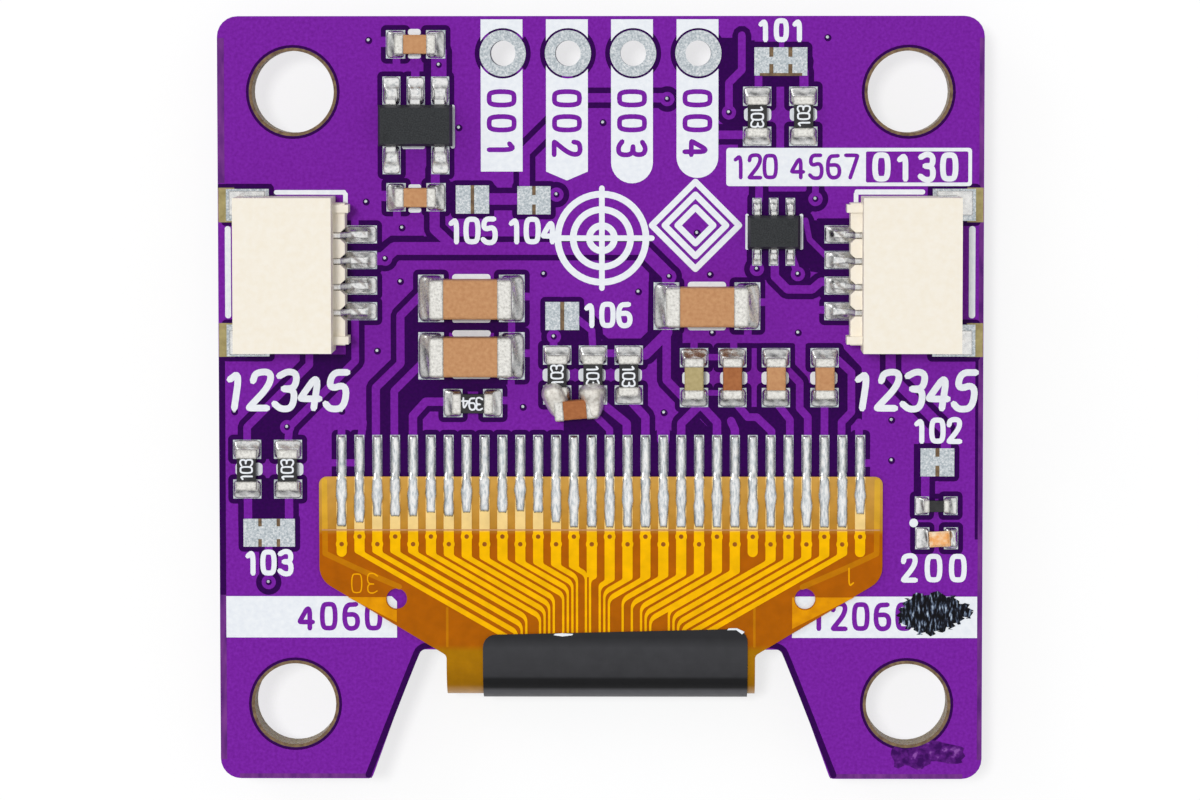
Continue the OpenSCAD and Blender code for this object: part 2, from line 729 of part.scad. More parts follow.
circuit_board();
tinned_pads();
header_plating();
polarizer();
front_glass();
cover_glass();
display_driver();
foam_tape();
ribbon_film();
ribbon_foil();
ribbon_solder();
shading_tape();
left_socket();
left_contacts();
left_anchors();
right_socket();
right_contacts();
right_anchors();
regulator();
regulator_leads();
level_shifter();
level_shifter_leads();
for (i = [1:len(resistors)])
    resistor(i - 1);
led_resistor();
for (i = [1:len(capacitors)])
    capacitor(i - 1);
added_capacitor();
for (i = [1:len(large_capacitors)])
    large_capacitor(i - 1);
resistor_ends();
led_resistor_ends();
capacitor_ends();
large_capacitor_ends();
added_capacitor_ends();
added_solder();
led_base();
led_lens();
led_ends();
joint_solder();
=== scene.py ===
"""Looks of the small display module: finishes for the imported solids, the board's copper, mask,
print and solder, and the studio. Sizes are in millimetres until they reach a mesh."""

import math

import bmesh
import bpy
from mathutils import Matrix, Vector
from mathutils.geometry import delaunay_2d_cdt

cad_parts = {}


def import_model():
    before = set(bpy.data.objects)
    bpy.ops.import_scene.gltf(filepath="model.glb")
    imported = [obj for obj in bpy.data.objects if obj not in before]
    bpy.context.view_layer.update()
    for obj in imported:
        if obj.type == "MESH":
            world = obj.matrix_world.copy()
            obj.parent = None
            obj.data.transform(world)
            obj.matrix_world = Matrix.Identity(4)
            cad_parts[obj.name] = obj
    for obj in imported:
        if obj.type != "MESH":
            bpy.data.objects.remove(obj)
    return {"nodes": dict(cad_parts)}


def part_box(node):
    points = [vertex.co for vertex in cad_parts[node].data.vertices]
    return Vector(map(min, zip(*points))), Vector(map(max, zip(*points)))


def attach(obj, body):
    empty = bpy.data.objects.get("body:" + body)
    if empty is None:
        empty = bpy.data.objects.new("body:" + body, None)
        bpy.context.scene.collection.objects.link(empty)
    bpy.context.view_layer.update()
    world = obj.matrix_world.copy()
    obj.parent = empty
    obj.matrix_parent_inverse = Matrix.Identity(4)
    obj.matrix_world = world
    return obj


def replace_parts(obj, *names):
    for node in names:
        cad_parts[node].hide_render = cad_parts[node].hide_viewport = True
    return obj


MM = 0.001
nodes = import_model()["nodes"]
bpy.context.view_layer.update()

# Levels that the layers lie on
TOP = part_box("circuit_board")[1].z / MM
PAD_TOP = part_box("tinned_pads")[1].z / MM
FILM_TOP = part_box("ribbon_film")[1].z / MM
FOIL_TOP = FILM_TOP + 0.03


# ---- Node materials ----

# Nearly all values of a noise lie between these
NOISE_LOW, NOISE_HIGH = 0.3, 0.7


def linear(code):
    """Linear colour of an sRGB code such as "76209c"."""
    parts = [int(code[i:i + 2], 16) / 255 for i in (0, 2, 4)]
    return [c / 12.92 if c <= 0.04045 else ((c + 0.055) / 1.055) ** 2.4 for c in parts] + [1]


def blend(dark, light):
    """Ramp stops from a darker to a lighter code over the range of a noise."""
    return [(NOISE_LOW, dark), (NOISE_HIGH, light)]


class Finish:
    """A node material on the Principled shader, with noise in the row frame."""

    def __init__(self, name, rough=0.5, metal=0.0, ior=1.45, gloss=0.5):
        self.material = bpy.data.materials.new(name)
        self.material.use_nodes = True
        self.tree = self.material.node_tree
        self.shader = self.tree.nodes["Principled BSDF"]
        self.place = self.add("ShaderNodeTexCoord").outputs["Object"]
        self.set("Roughness", rough)
        self.set("Metallic", metal)
        self.set("IOR", ior)
        self.set("Specular IOR Level", gloss)

    def add(self, kind, **values):
        """New node; each value is a setting of the node or the name of an input."""
        node = self.tree.nodes.new(kind)
        for key, value in values.items():
            if hasattr(node, key):
                setattr(node, key, value)
            else:
                node.inputs[key.replace("_", " ")].default_value = value
        return node

    def set(self, socket, value):
        self.shader.inputs[socket].default_value = value

    def join(self, source, target):
        self.tree.links.new(source, target)

    def noise(self, size, detail=3.0, stretch=(1, 1, 1)):
        """Noise whose lumps measure about size millimetres."""
        mapping = self.add("ShaderNodeMapping")
        mapping.inputs["Scale"].default_value = stretch
        self.join(self.place, mapping.inputs["Vector"])
        noise = self.add("ShaderNodeTexNoise", Scale=1 / (size * MM), Detail=detail)
        self.join(mapping.outputs["Vector"], noise.inputs["Vector"])
        return noise.outputs["Fac"]

    def ramp(self, value, stops):
        """Colour ramp with stops (place, sRGB code)."""
        ramp = self.add("ShaderNodeValToRGB")
        elements = ramp.color_ramp.elements
        while len(elements) < len(stops):
            elements.new(0.5)
        for element, (place, code) in zip(elements, stops):
            element.position = place
            element.color = linear(code)
        self.join(value, ramp.inputs["Fac"])
        return ramp.outputs["Color"]

    def mix(self, first, second, factor=None, **settings):
        """Mix of two colours; settings go to the node."""
        mix = self.add("ShaderNodeMix", data_type="RGBA", **settings)
        if factor:
            self.join(factor, mix.inputs["Factor"])
        self.join(first, mix.inputs[6])
        self.join(second, mix.inputs[7])
        return mix.outputs[2]

    def paint(self, colour):
        self.join(colour, self.shader.inputs["Base Color"])
        return self

    def colour(self, size, stops, detail=3.0, stretch=(1, 1, 1)):
        """Colour that wanders between the stops, in lumps of the given size."""
        return self.paint(self.ramp(self.noise(size, detail, stretch), stops))

    def sided(self, size, flat, wall):
        """One colour on level faces, another on upright ones."""
        normal = self.add("ShaderNodeSeparateXYZ")
        self.join(self.add("ShaderNodeNewGeometry").outputs["Normal"], normal.inputs[0])
        level = self.add("ShaderNodeMath", operation="ABSOLUTE")
        self.join(normal.outputs["Z"], level.inputs[0])
        noise = self.noise(size)
        return self.paint(self.mix(self.ramp(noise, wall), self.ramp(noise, flat), level.outputs[0]))

    def along_y(self, low, high, stops):
        """Colours at places along Y in millimetres, a little uneven."""
        place = self.add("ShaderNodeSeparateXYZ")
        self.join(self.place, place.inputs[0])
        span = self.add("ShaderNodeMapRange", From_Min=low * MM, From_Max=high * MM)
        self.join(place.outputs["Y"], span.inputs["Value"])
        ends = [((y - low) / (high - low), code) for y, code in stops]
        colour = self.ramp(span.outputs["Result"], ends)
        shade = self.ramp(self.noise(0.5), blend("ececec", "ffffff"))
        return self.paint(self.mix(colour, shade, blend_type="MULTIPLY", Factor=1.0))

    def rough(self, size, low, high):
        """Roughness that wanders between two values."""
        spread = self.add("ShaderNodeMapRange", To_Min=low, To_Max=high)
        spread.inputs["From Min"].default_value = NOISE_LOW
        spread.inputs["From Max"].default_value = NOISE_HIGH
        self.join(self.noise(size), spread.inputs["Value"])
        self.join(spread.outputs["Result"], self.shader.inputs["Roughness"])
        return self

    def edges(self, radius):
        """Shade sharp edges as if rounded to this radius in millimetres."""
        bevel = self.add("ShaderNodeBevel", Radius=radius * MM)
        bevel.samples = 6
        self.join(bevel.outputs["Normal"], self.shader.inputs["Normal"])
        return self

    def bump(self, size, height, detail=2.0, stretch=(1, 1, 1)):
        """Relief height millimetres high, in lumps of the given size; calls stack up."""
        bump = self.add("ShaderNodeBump", Strength=1.0, Distance=height * MM)
        normal = self.shader.inputs["Normal"]
        if normal.is_linked:
            self.join(normal.links[0].from_socket, bump.inputs["Normal"])
        self.join(self.noise(size, detail, stretch), bump.inputs["Height"])
        self.join(bump.outputs["Normal"], normal)
        return self


# Board: mask, laminate, print, and marker ink with painted reflections
PURPLE = blend("6f1a94", "7e25a8")
MASK = Finish("mask_over_copper", rough=0.3, gloss=0.1)
MASK.colour(0.12, PURPLE).bump(0.05, 0.0006)
BOARD = Finish("board", rough=0.3, gloss=0.1)
BOARD.sided(0.12, PURPLE, blend("9c8a5c", "b4a272")).bump(0.05, 0.0006)
DEEP = Finish("mask_over_laminate", rough=0.3, gloss=0.08)
DEEP.colour(0.12, blend("2a0046", "350052")).bump(0.05, 0.0006)
SCUFF = Finish("scuffed_mask", rough=0.5, gloss=0.1)
SCUFF.colour(0.25, [(0.4, "3a0a58"), (0.6, "5c1c7c"), (0.7, "8a4ea4")], 5).bump(0.08, 0.002)
RIM = Finish("mask_at_the_rim", rough=0.5, gloss=0.15)
RIM.colour(0.3, blend("552070", "7a3a8c"), stretch=(1, 0.3, 1)).bump(0.08, 0.002)
LAMINATE = Finish("bare_laminate", rough=0.6, gloss=0.3)
LAMINATE.colour(0.25, blend("96885a", "b0a270")).bump(0.08, 0.002)
CUT = Finish("cut_laminate", rough=0.6, gloss=0.3)
CUT.colour(0.2, blend("5e4a3a", "8a7254")).bump(0.08, 0.002)
# White print; the same white finish also paints the highlights on the tape's frayed edge.
SILK_AND_HIGHLIGHT = Finish("silkscreen", rough=0.6)
SILK_AND_HIGHLIGHT.colour(0.2, blend("e6eaf0", "f0f3f6")).bump(0.06, 0.002)
# Black marker ink; the bluish-white streaks in its colour are painted reflections.
INK_AND_PAINTED_SHEEN = Finish("marker_ink_and_painted_sheen", rough=0.3, gloss=0.12)
INK_AND_PAINTED_SHEEN.colour(0.2, [(0.45, "08080c"), (0.53, "1a1d28"), (0.6, "5c6a80"), (0.72, "c2d0e0")], 6, (1.9, 0.6, 1))
INK_AND_PAINTED_SHEEN.bump(0.08, 0.01)

# Metals
TIN = Finish("tinned_copper", metal=1.0)
TIN.colour(0.07, [(0.3, "a8b2b8"), (0.5, "cbd3d8"), (0.7, "f4f6f7")], 4).rough(0.08, 0.25, 0.4)
TIN.bump(0.06, 0.003)
SOLDER = Finish("solder", metal=1.0)
SOLDER.colour(0.1, [(0.3, "c6cacc"), (0.45, "ececeb"), (0.7, "fdfcfa")]).rough(0.12, 0.16, 0.34)
SOLDER.bump(0.15, 0.01)
STREAKED = Finish("streaked_solder", metal=1.0)
STREAKED.colour(0.16, [(0.3, "bcc4c9"), (0.48, "e8ebec"), (0.62, "fefdfb")], 3, (2.2, 0.6, 1))
STREAKED.rough(0.2, 0.16, 0.3).bump(0.2, 0.008, 2, (1.5, 0.6, 1))
HAND_SOLDER = Finish("hand_solder", rough=0.36, metal=0.6)
HAND_SOLDER.colour(0.16, [(0.3, "d0cac0"), (0.5, "f0ebe2"), (0.7, "fffcf4")], 4).bump(0.12, 0.01)
SPRING = Finish("tin_plated_spring", metal=1.0)
SPRING.colour(0.2, blend("dcdddd", "faf9f6")).rough(0.15, 0.18, 0.34)
SPRING.edges(0.09).bump(0.12, 0.006)
PLATING = Finish("end_plating", metal=0.9)
PLATING.colour(0.1, [(0.3, "d2d0ca"), (0.5, "eeece6"), (0.7, "fffdf6")]).rough(0.08, 0.25, 0.4)
PLATING.edges(0.11).bump(0.1, 0.006)
GOLD = Finish("gold_flash", metal=1.0, rough=0.3)
GOLD.colour(0.2, blend("c9b070", "e6d49a"))

# Ribbon, with its colours from the fold at the back to the edge on the pads. The pale stops of film and
# foil at y -11.6 are a painted highlight where they curve round the fold.
FILM_AND_FOLD_SHEEN = Finish("amber_film_and_fold_sheen", rough=0.25, gloss=0.08)
FILM_AND_FOLD_SHEEN.along_y(-12.5, -2.5, [(-11.6, "cda06a"), (-11.3, "a87208"), (-9.9, "ad7604"), (-9.65, "b26002"),
                           (-5.3, "b45e02"), (-5.1, "c28a30"), (-3, "d2a04c")]).bump(0.4, 0.002)
FOIL_AND_FOLD_SHEEN = Finish("copper_under_film_and_fold_sheen", rough=0.28, gloss=0.08)
FOIL_AND_FOLD_SHEEN.along_y(-12.5, -2.5, [(-11.6, "e8b070"), (-11.3, "d99a10"), (-9.9, "e0a008"), (-9.65, "ffba00"),
                           (-5.2, "ffc000"), (-5.1, "fad78c"), (-3, "fcdc98")]).bump(0.3, 0.002)
AMBER = Finish("film_over_copper", rough=0.25, gloss=0.08)
AMBER.along_y(-12.5, -2.5, [(-9, "c67a04"), (-5.2, "c67a04"), (-5.1, "dca42c"), (-3, "e2b03a")])
AMBER.bump(0.4, 0.002)
LIT_FILM = Finish("film_over_white", rough=0.25, gloss=0.08)
LIT_FILM.colour(0.5, blend("e89c00", "f6ad04")).bump(0.4, 0.002)
FILM_ON_PRINT = Finish("film_over_print", rough=0.25, gloss=0.08)
FILM_ON_PRINT.colour(0.5, blend("d08404", "ec9e04")).bump(0.4, 0.002)
RUST = Finish("hole_in_film", rough=0.5, gloss=0.2)
RUST.colour(0.1, blend("8c4c10", "a05c1c"))
# Black tape, darker in a band from y -11.36 to -11 and paler below -11.5: painted shade and painted
# highlight where it curves round the fold. It is also darker towards its front edge at y -9.35.
TAPE_AND_FOLD_SHADING = Finish("black_tape_and_fold_shading", rough=0.42, gloss=0.3)
TAPE_AND_FOLD_SHADING.along_y(-12.2, -9, [(-11.95, "5c5c60"), (-11.5, "515155"), (-11.36, "121214"), (-11, "161618"),
                         (-10.88, "343437"), (-9.75, "38383b"), (-9.35, "232326")])
TAPE_AND_FOLD_SHADING.bump(0.06, 0.003, 2, (3, 1, 1))

# Panel
PANEL = Finish("panel_glass", rough=0.03, ior=1.52)
PANEL.colour(3.0, blend("b9ccd2", "c4d5da"))
PANEL.set("Transmission Weight", 0.85)
POLARIZER = Finish("polarizer", rough=0.12, ior=1.5)
POLARIZER.colour(2.0, blend("0d0e12", "121318")).bump(0.1, 0.0004)
SILICON = Finish("silicon", rough=0.2, ior=2.2)
SILICON.colour(0.6, blend("2b2e35", "363a44"))
FOAM = Finish("foam_tape", rough=0.85)
FOAM.colour(0.2, blend("dcd9cf", "efece4")).bump(0.08, 0.01)

# Parts
CREAM = Finish("cream_nylon", rough=0.55)
CREAM.colour(0.25, blend("f3ead8", "f6efe1"), 6).bump(0.05, 0.003)
EPOXY = Finish("black_epoxy", rough=0.5, gloss=0.3)
EPOXY.colour(0.05, blend("222426", "383a3c")).bump(0.04, 0.004)
GLAZE = Finish("resistor_glaze", rough=0.35)
GLAZE.colour(0.2, blend("1b1b1c", "2c2c2d")).bump(0.1, 0.002)
LENS = Finish("led_lens", rough=0.3)
LENS.colour(0.3, [(0.35, "f0a860"), (0.65, "fbe2bd")])
WHITE_BASE = Finish("led_base", rough=0.5)
WHITE_BASE.colour(0.2, blend("e5dfcf", "f3efe4"))


def ceramic(name, dark, light):
    finish = Finish(name, rough=0.5)
    return finish.colour(0.15, blend(dark, light)).bump(0.05, 0.002)


TAN = ceramic("tan_ceramic", "b98357", "c99668")
BROWN = ceramic("brown_ceramic", "9a5a2e", "ab6a3c")
KHAKI = ceramic("khaki_ceramic", "a89868", "b8a878")


def dress(finish, *names):
    for name in names:
        mesh = nodes[name].data
        mesh.materials.clear()
        mesh.materials.append(finish.material)


dress(BOARD, "circuit_board")
dress(TIN, "tinned_pads", "header_plating")
dress(SOLDER, "ribbon_solder", "joint_solder", "added_solder")
dress(CREAM, "left_socket", "right_socket")
dress(SPRING, "left_contacts", "right_contacts", "left_anchors", "right_anchors")
dress(SPRING, "regulator_leads", "level_shifter_leads")
dress(FILM_AND_FOLD_SHEEN, "ribbon_film")
dress(FOIL_AND_FOLD_SHEEN, "ribbon_foil")
dress(TAPE_AND_FOLD_SHADING, "shading_tape")
dress(PANEL, "front_glass", "cover_glass")
dress(POLARIZER, "polarizer")
dress(SILICON, "display_driver")
dress(FOAM, "foam_tape")
dress(EPOXY, "regulator", "level_shifter")
dress(GLAZE, "led_resistor", *[f"resistor_{i}" for i in range(1, 9)])
dress(TAN, *[f"capacitor_{i}" for i in (1, 2, 5, 6)], *[f"large_capacitor_{i}" for i in (1, 2, 3)])
dress(BROWN, "capacitor_4", "added_capacitor")
dress(KHAKI, "capacitor_3")
dress(PLATING, "resistor_ends", "led_resistor_ends", "capacitor_ends", "large_capacitor_ends")
dress(PLATING, "added_capacitor_ends")
dress(LENS, "led_lens")
dress(WHITE_BASE, "led_base")
dress(GOLD, "led_ends")


# ---- Flat layers: copper under mask, openings, print and ribbon marks ----

# How far solder and resistor codes are sunk into what they lie on
SINK = 0.01
# How far each layer's top stands over the board
RIM_LAYER, GAP_LAYER, SCUFF_LAYER, OPENING_LAYER = 0.003, 0.004, 0.006, 0.008
PRINT_LAYER, DIGIT_LAYER, BLOT_LAYER = 0.022, 0.026, 0.034
# Over the pads, the resistors, the film and the foil
PAD_LAYER = 0.002
CODE_LAYER = 0.004
BAND_LAYER, ON_PRINT_LAYER, NUMBER_LAYER = 0.003, 0.004, 0.005
HOLE_LAYER, COVER_LAYER, FRAY_HIGHLIGHT_LAYER = 0.003, 0.004, 0.106


def arc(x, y, r, start, end, steps=16):
    """Points round (x, y) from one angle to another, in degrees."""
    turns = [math.radians(start + (end - start) * i / steps) for i in range(steps + 1)]
    return [(x + r * math.cos(t), y + r * math.sin(t)) for t in turns]


def box_outline(x0, y0, x1, y1):
    """Corners of a box from its low and high corner."""
    return [(x0, y0), (x1, y0), (x1, y1), (x0, y1)]


def rounded_box(x0, y0, x1, y1, r):
    """Box with its corners rounded to radius r."""
    return (arc(x1 - r, y1 - r, r, 0, 90, 4) + arc(x0 + r, y1 - r, r, 90, 180, 4)
            + arc(x0 + r, y0 + r, r, 180, 270, 4) + arc(x1 - r, y0 + r, r, 270, 360, 4))


def softened(points, rounds=2, closed=False):
    """Points with their corners cut, as often as rounds says."""
    for _ in range(rounds):
        made = [] if closed else [points[0]]
        pairs = zip(points, points[1:] + (points[:1] if closed else []))
        for a, b in pairs:
            made.append((0.75 * a[0] + 0.25 * b[0], 0.75 * a[1] + 0.25 * b[1]))
            made.append((0.25 * a[0] + 0.75 * b[0], 0.25 * a[1] + 0.75 * b[1]))
        points = made if closed else made + [points[-1]]
    return points


def turned_left(outline):
    """The outline in anticlockwise order."""
    pairs = zip(outline, outline[1:] + outline[:1])
    area = sum(a[0] * b[1] - b[0] * a[1] for a, b in pairs)
    return outline if area > 0 else outline[::-1]


class Layer:
    """Thin shapes painted one over the other at one height; the last one that covers a spot rules."""

    def __init__(self, name, top, base=None):
        self.name = name
        self.top = top
        self.base = TOP if base is None else base
        self.shapes = []

    def add(self, outline):
        self.shapes.append((turned_left(outline), True))

    def cut(self, outline):
        self.shapes.append((turned_left(outline), False))

    def boxes(self, boxes):
        for box in boxes:
            self.add(box_outline(*box))

    def discs(self, places, r, steps=24, keep=True):
        for x, y in places:
            self.shapes.append((arc(x, y, r, 0, 360, steps)[:-1], keep))

    def ring(self, place, outer, inner):
        self.discs([place], outer, 48)
        self.discs([place], inner, 48, keep=False)

    def strokes(self, lines, wider=0, keep=True):
        """Lines given as (width, points), all wider by the same amount."""
        for width, path in lines:
            self.stroke(path, width + wider, keep=keep)

    def stroke(self, path, width, closed=False, keep=True, steps=5):
        """A line of even width with round joints and ends."""
        if closed:
            path = path + [path[0]]
        half = width / 2
        for (ax, ay), (bx, by) in zip(path, path[1:]):
            turn = math.degrees(math.atan2(by - ay, bx - ax))
            outline = arc(ax, ay, half, turn + 90, turn + 270, steps)
            outline += arc(bx, by, half, turn - 90, turn + 90, steps)
            self.shapes.append((outline, keep))

    def object(self, finish):
        """The painted area as one closed piece that rides on the board."""
        spots, loops = [], []
        for outline, _ in self.shapes:
            loops.append(list(range(len(spots), len(spots) + len(outline))))
            spots += [Vector(spot) for spot in outline]
        spots, _, faces, _, _, owners = delaunay_2d_cdt(spots, [], loops, 1, 1e-5)
        kept = [face for face, owner in zip(faces, owners) if owner and self.shapes[max(owner)][1]]
        n = len(spots)
        rims = {(a, b) for face in kept for a, b in zip(face, face[1:] + face[:1])}
        walls = [[n + a, a, b, n + b] for a, b in rims if (b, a) not in rims]
        tops = [[n + i for i in face] for face in kept]
        points = [(x * MM, y * MM, z * MM) for z in (self.base, self.top) for x, y in spots]
        mesh = bpy.data.meshes.new(self.name)
        mesh.from_pydata(points, [], tops + walls + [face[::-1] for face in kept])
        made = bmesh.new()
        made.from_mesh(mesh)
        bmesh.ops.delete(made, geom=[v for v in made.verts if not v.link_faces], context="VERTS")
        made.to_mesh(mesh)
        made.free()
        return piece(self.name, mesh, finish)


def piece(name, mesh, finish):
    """New object that rides on the board's body, with its finish."""
    obj = bpy.data.objects.new(name, mesh)
    bpy.context.scene.collection.objects.link(obj)
    mesh.materials.append(finish.material)
    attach(obj, "root")
    return obj


def islands(name):
    """Boxes (x0, y0, x1, y1) of a node's separate parts, in millimetres."""
    mesh, place = nodes[name].data, nodes[name].matrix_world
    spots = [tuple(round(c / MM, 3) for c in place @ v.co) for v in mesh.vertices]
    owner = {spot: spot for spot in spots}

    def root(spot):
        while owner[spot] != spot:
            owner[spot] = owner[owner[spot]]
            spot = owner[spot]
        return spot

    for edge in mesh.edges:
        owner[root(spots[edge.vertices[0]])] = root(spots[edge.vertices[1]])
    groups = {}
    for spot in owner:
        groups.setdefault(root(spot), []).append(spot)
    boxes = []
    for group in groups.values():
        xs, ys, _ = zip(*group)
        boxes.append((min(xs), min(ys), max(xs), max(ys)))
    return sorted(boxes)


# ---- Copper under the mask ----

# Clearances round pads and nets
PAD_GAP = 0.2
NET_GAP = 0.22
HEADER = [((i - 1.5) * 2.54, 13.5) for i in range(4)]
HOLES = [(x, y) for x in (-12, 12) for y in (-12, 12)]
HOLE_R = 1.6

# Nets that stand free of the pour, as (width, points)
NETS = [
    (0.5, [(-9, 5.5), (-8.5, 5.5), (-8.05, 5.9), (1.6, 5.9), (2.65, 4.85), (2.65, 4.4)]),
    (0.4, [(-6.48, 7.6), (-6.48, 6.65), (-5.9, 6.1)]),
    (0.6, [(-6.3, 13.6), (-6.3, 12.4)]),
    (0.35, [(-6.45, 9), (-6.45, 8.2)]),
    (0.45, [(-4.4, 7.83), (-3.2, 7.83)]),
    (0.42, [(-2.97, 8), (-2.97, 9.65), (-1.6, 11), (-1.3, 11.7), (-1.3, 13.5)]),
    (0.36, [(-1.3, 11.77), (2.6, 11.77)]),
    (0.3, [(-2.2, 7.95), (-1.72, 8)]),
    (0.3, [(5, 11.2), (5, 12.35), (5.5, 12.85), (5.5, 14.2)]),
    (0.33, [(4.4, 10.33), (5.8, 10.33)]),
    (0.3, [(6.15, 12.8), (6.15, 12)]),
    (0.35, [(7.92, 12.8), (7.92, 12)]),
    (0.3, [(6.18, 7.8), (6.18, 8.5)]),
    (0.26, [(8.38, 7.83), (8.38, 8.5)]),
    (0.22, [(8, 7), (8.15, 6.25), (8.9, 5.5)]),
    (0.3, [(6.15, 5.6), (6.1, 5.1)]),
    (0.3, [(7.45, 5.6), (7.7, 4.9)]),
    (0.33, [(8.9, 4.6), (8.6, 4.6), (8.25, 4.3), (7.3, 4.3), (6.8, 4.8), (6.8, 5.6)]),
    (0.3, [(-9.6, 3.3), (-9.6, 1.5), (-12.2, -1.1), (-12.25, -1.8)]),
    (0.3, [(-11.4, 2.5), (-11.4, 1.35), (-13.85, -1.1), (-13.85, -1.8)]),
    (0.33, [(-13.83, -3.6), (-13.83, -5)]),
    (0.33, [(-12.22, -3.6), (-12.22, -5)]),
    (0.3, [(-13.03, -5.7), (-13.03, -7.2)]),
    (0.32, [(-7, 4.1), (-7.83, 3.27), (-7.83, 1.4), (-8.8, 0.45), (-8.8, -1.6)]),
    (0.3, [(-7, 1.4), (-8.08, 0.32), (-8.08, -1.6)]),
    (0.33, [(-6, -0.1), (-6.85, -0.1), (-7.35, -0.65), (-7.35, -1.6)]),
    (0.28, [(-1.1, 3.3), (-0.35, 2.7), (-0.3, 1.9)]),
    (0.3, [(-1.88, 3), (-1.83, 1.9)]),
    (0.3, [(-0.2, 1.8), (1.1, 1.8)]),
    (0.4, [(1.2, 1.75), (1.75, 1.75), (2.6, 2.6), (2.6, 3)]),
    (0.33, [(2.58, 2.9), (2.58, 0.75), (3.4, -0.1)]),
    (0.28, [(-0.3, -0.55), (0.35, -1.2), (0.35, -1.6)]),
    (0.33, [(0.1, -0.2), (1.02, -0.95), (1.02, -1.6)]),
    (0.33, [(1.2, -0.1), (1.75, -0.7), (1.75, -1.6)]),
    (0.33, [(3.9, -0.2), (3.15, -0.95), (3.15, -1.6)]),
    (0.33, [(3.9, -0.2), (4.55, -0.9), (4.55, -1.6)]),
    (0.33, [(5.1, -0.85), (5.25, -1.2), (5.25, -1.6)]),
    (0.3, [(5.25, -0.1), (5.75, -0.7), (6.1, -0.7), (6.68, -1.25), (6.68, -1.6)]),
    (0.3, [(6.85, -0.1), (7.4, -0.8), (7.4, -1.6)]),
    (0.3, [(7.2, 1.25), (7.78, 0.65), (7.78, -0.35), (8.1, -0.7), (8.1, -1.6)]),
    (0.3, [(8.75, 0), (8.75, -1.6)]),
    (0.3, [(9.1, 1.7), (9.8, 1.05), (9.8, -0.5), (9.42, -0.9), (9.42, -1.6)]),
    (0.4, [(11.33, 2.5), (11.33, 0.92), (13.5, -1.25), (13.5, -2.2)]),
    (0.33, [(12.7, -2.8), (12.7, -4.2)]),
]
# Places without copper between the nets
VOIDS = [
    [(-8.6, 6.1), (-8.2, 6.4), (-6.9, 6.4), (-6.9, 6.15), (-8.2, 6.15), (-8.5, 5.9)],
    [(-9.9, 6.1), (-8.7, 6.1), (-8.7, 5.8), (-9.9, 5.8)],
    [(-7.85, 11.6), (-7.85, 12.6), (-7.55, 12.6), (-7.55, 11.6)],
    [(-6.9, 11.6), (-6.9, 13.3), (-6.6, 13.3), (-6.6, 11.6)],
    [(-6.1, 8.5), (-4.3, 8.55), (-4, 8.25), (-3.3, 8.25), (-3.3, 8.05), (-4.3, 8), (-4.3, 8.3),
     (-6.1, 8.3)],
    [(-6.15, 7.3), (-6.15, 8.4), (-5.7, 8.4), (-5.7, 7.3)],
    [(4.6, 11.45), (4.6, 14.1), (5.35, 14.1), (5.35, 12.8), (4.8, 12.3), (4.8, 11.45)],
    [(5.15, 10.6), (5.15, 12.35), (5.7, 12.9), (5.7, 14), (6, 14), (6, 10.6)],
    [(4.6, 10.5), (4.6, 10.75), (5.6, 10.75), (5.6, 10.5)],
    [(5.8, 12.2), (8.2, 12.2), (8.2, 12.6), (5.8, 12.6)],
    [(5.8, 13.7), (5.8, 13.95), (8.1, 13.95), (8.3, 13.2), (8.2, 12.4), (7.9, 12.4)],
    [(5.78, 6.9), (5.78, 8.33), (6.5, 8.33), (6.5, 8.12), (8.1, 8.12), (8.1, 8.33), (8.65, 8.33),
     (8.65, 7.6), (8.2, 7.3), (8.15, 6.9)],
    [(5.7, 6.1), (5.7, 5.1), (5.9, 4.7), (8.1, 4.55), (8.2, 5.9), (7.9, 6.1)],
    [(7.8, 7), (8.7, 7), (8.8, 4.9), (8.2, 5), (7.8, 6)],
    [(-13.7, -1.5), (-13.7, -1), (-11.3, 1.4), (-11.3, 1.75), (-9.8, 1.75), (-9.8, 1.5), (-12.3, -1),
     (-12.3, -1.5)],
    [(-13.4, -1.4), (-12.7, -1.4), (-12.7, -2.35), (-13.4, -2.35)],
    [(-13.4, -3.1), (-12.6, -3.1), (-12.4, -4.7), (-13.7, -4.7)],
    [(-7.7, 1.3), (-7.7, 3.2), (-7, 3.9), (-7, 1.6)],
    [(-7.9, -1.4), (-7.9, 0.4), (-7.15, 1.1), (-3.7, 0.9), (-3.7, 0.3), (-6.3, 0.3), (-6.3, -0.2),
     (-6.9, -0.25), (-7.2, -0.6), (-7.2, -1.4)],
    [(-6.9, 2.6), (-6.9, 3.15), (-3.1, 3.15), (-3.1, 2.6)],
    [(-1.5, 2.6), (-0.4, 2.6), (-0.4, 1.3), (-1.5, 1.3)],
    [(-1.45, -1.3), (-1.45, -0.8), (-0.3, -0.7), (0.3, -1.3)],
    [(2.75, 0.5), (2.75, 2.7), (3.2, 2.7), (3.2, 0.2)],
    [(3.3, -1.3), (3.8, -0.7), (4.4, -1.3)],
    [(4.7, -0.3), (9.6, -0.3), (9.3, -1.4), (4.7, -1.4)],
    [(9.2, 1.5), (9.65, 1.1), (9.65, -0.4), (9.2, -0.9)],
    [(12.25, -3.9), (12.25, -1.75), (12.5, -1.75), (12.5, -3.9)],
    [(12.85, -3.2), (13.95, -3.2), (13.95, -3), (12.85, -3)],
    [(12.8, -3.9), (12.8, -3), (13, -3), (13, -3.7), (14.1, -3.7), (14.1, -3.9)],
    [(-14.95, 8.2), (-14.95, 8.42), (-14.05, 8.42), (-14.05, 8.25)],
    [(-13.7, 8.2), (-13.7, 8.42), (-12.85, 8.42), (-12.65, 7.95), (-12.95, 8)],
]
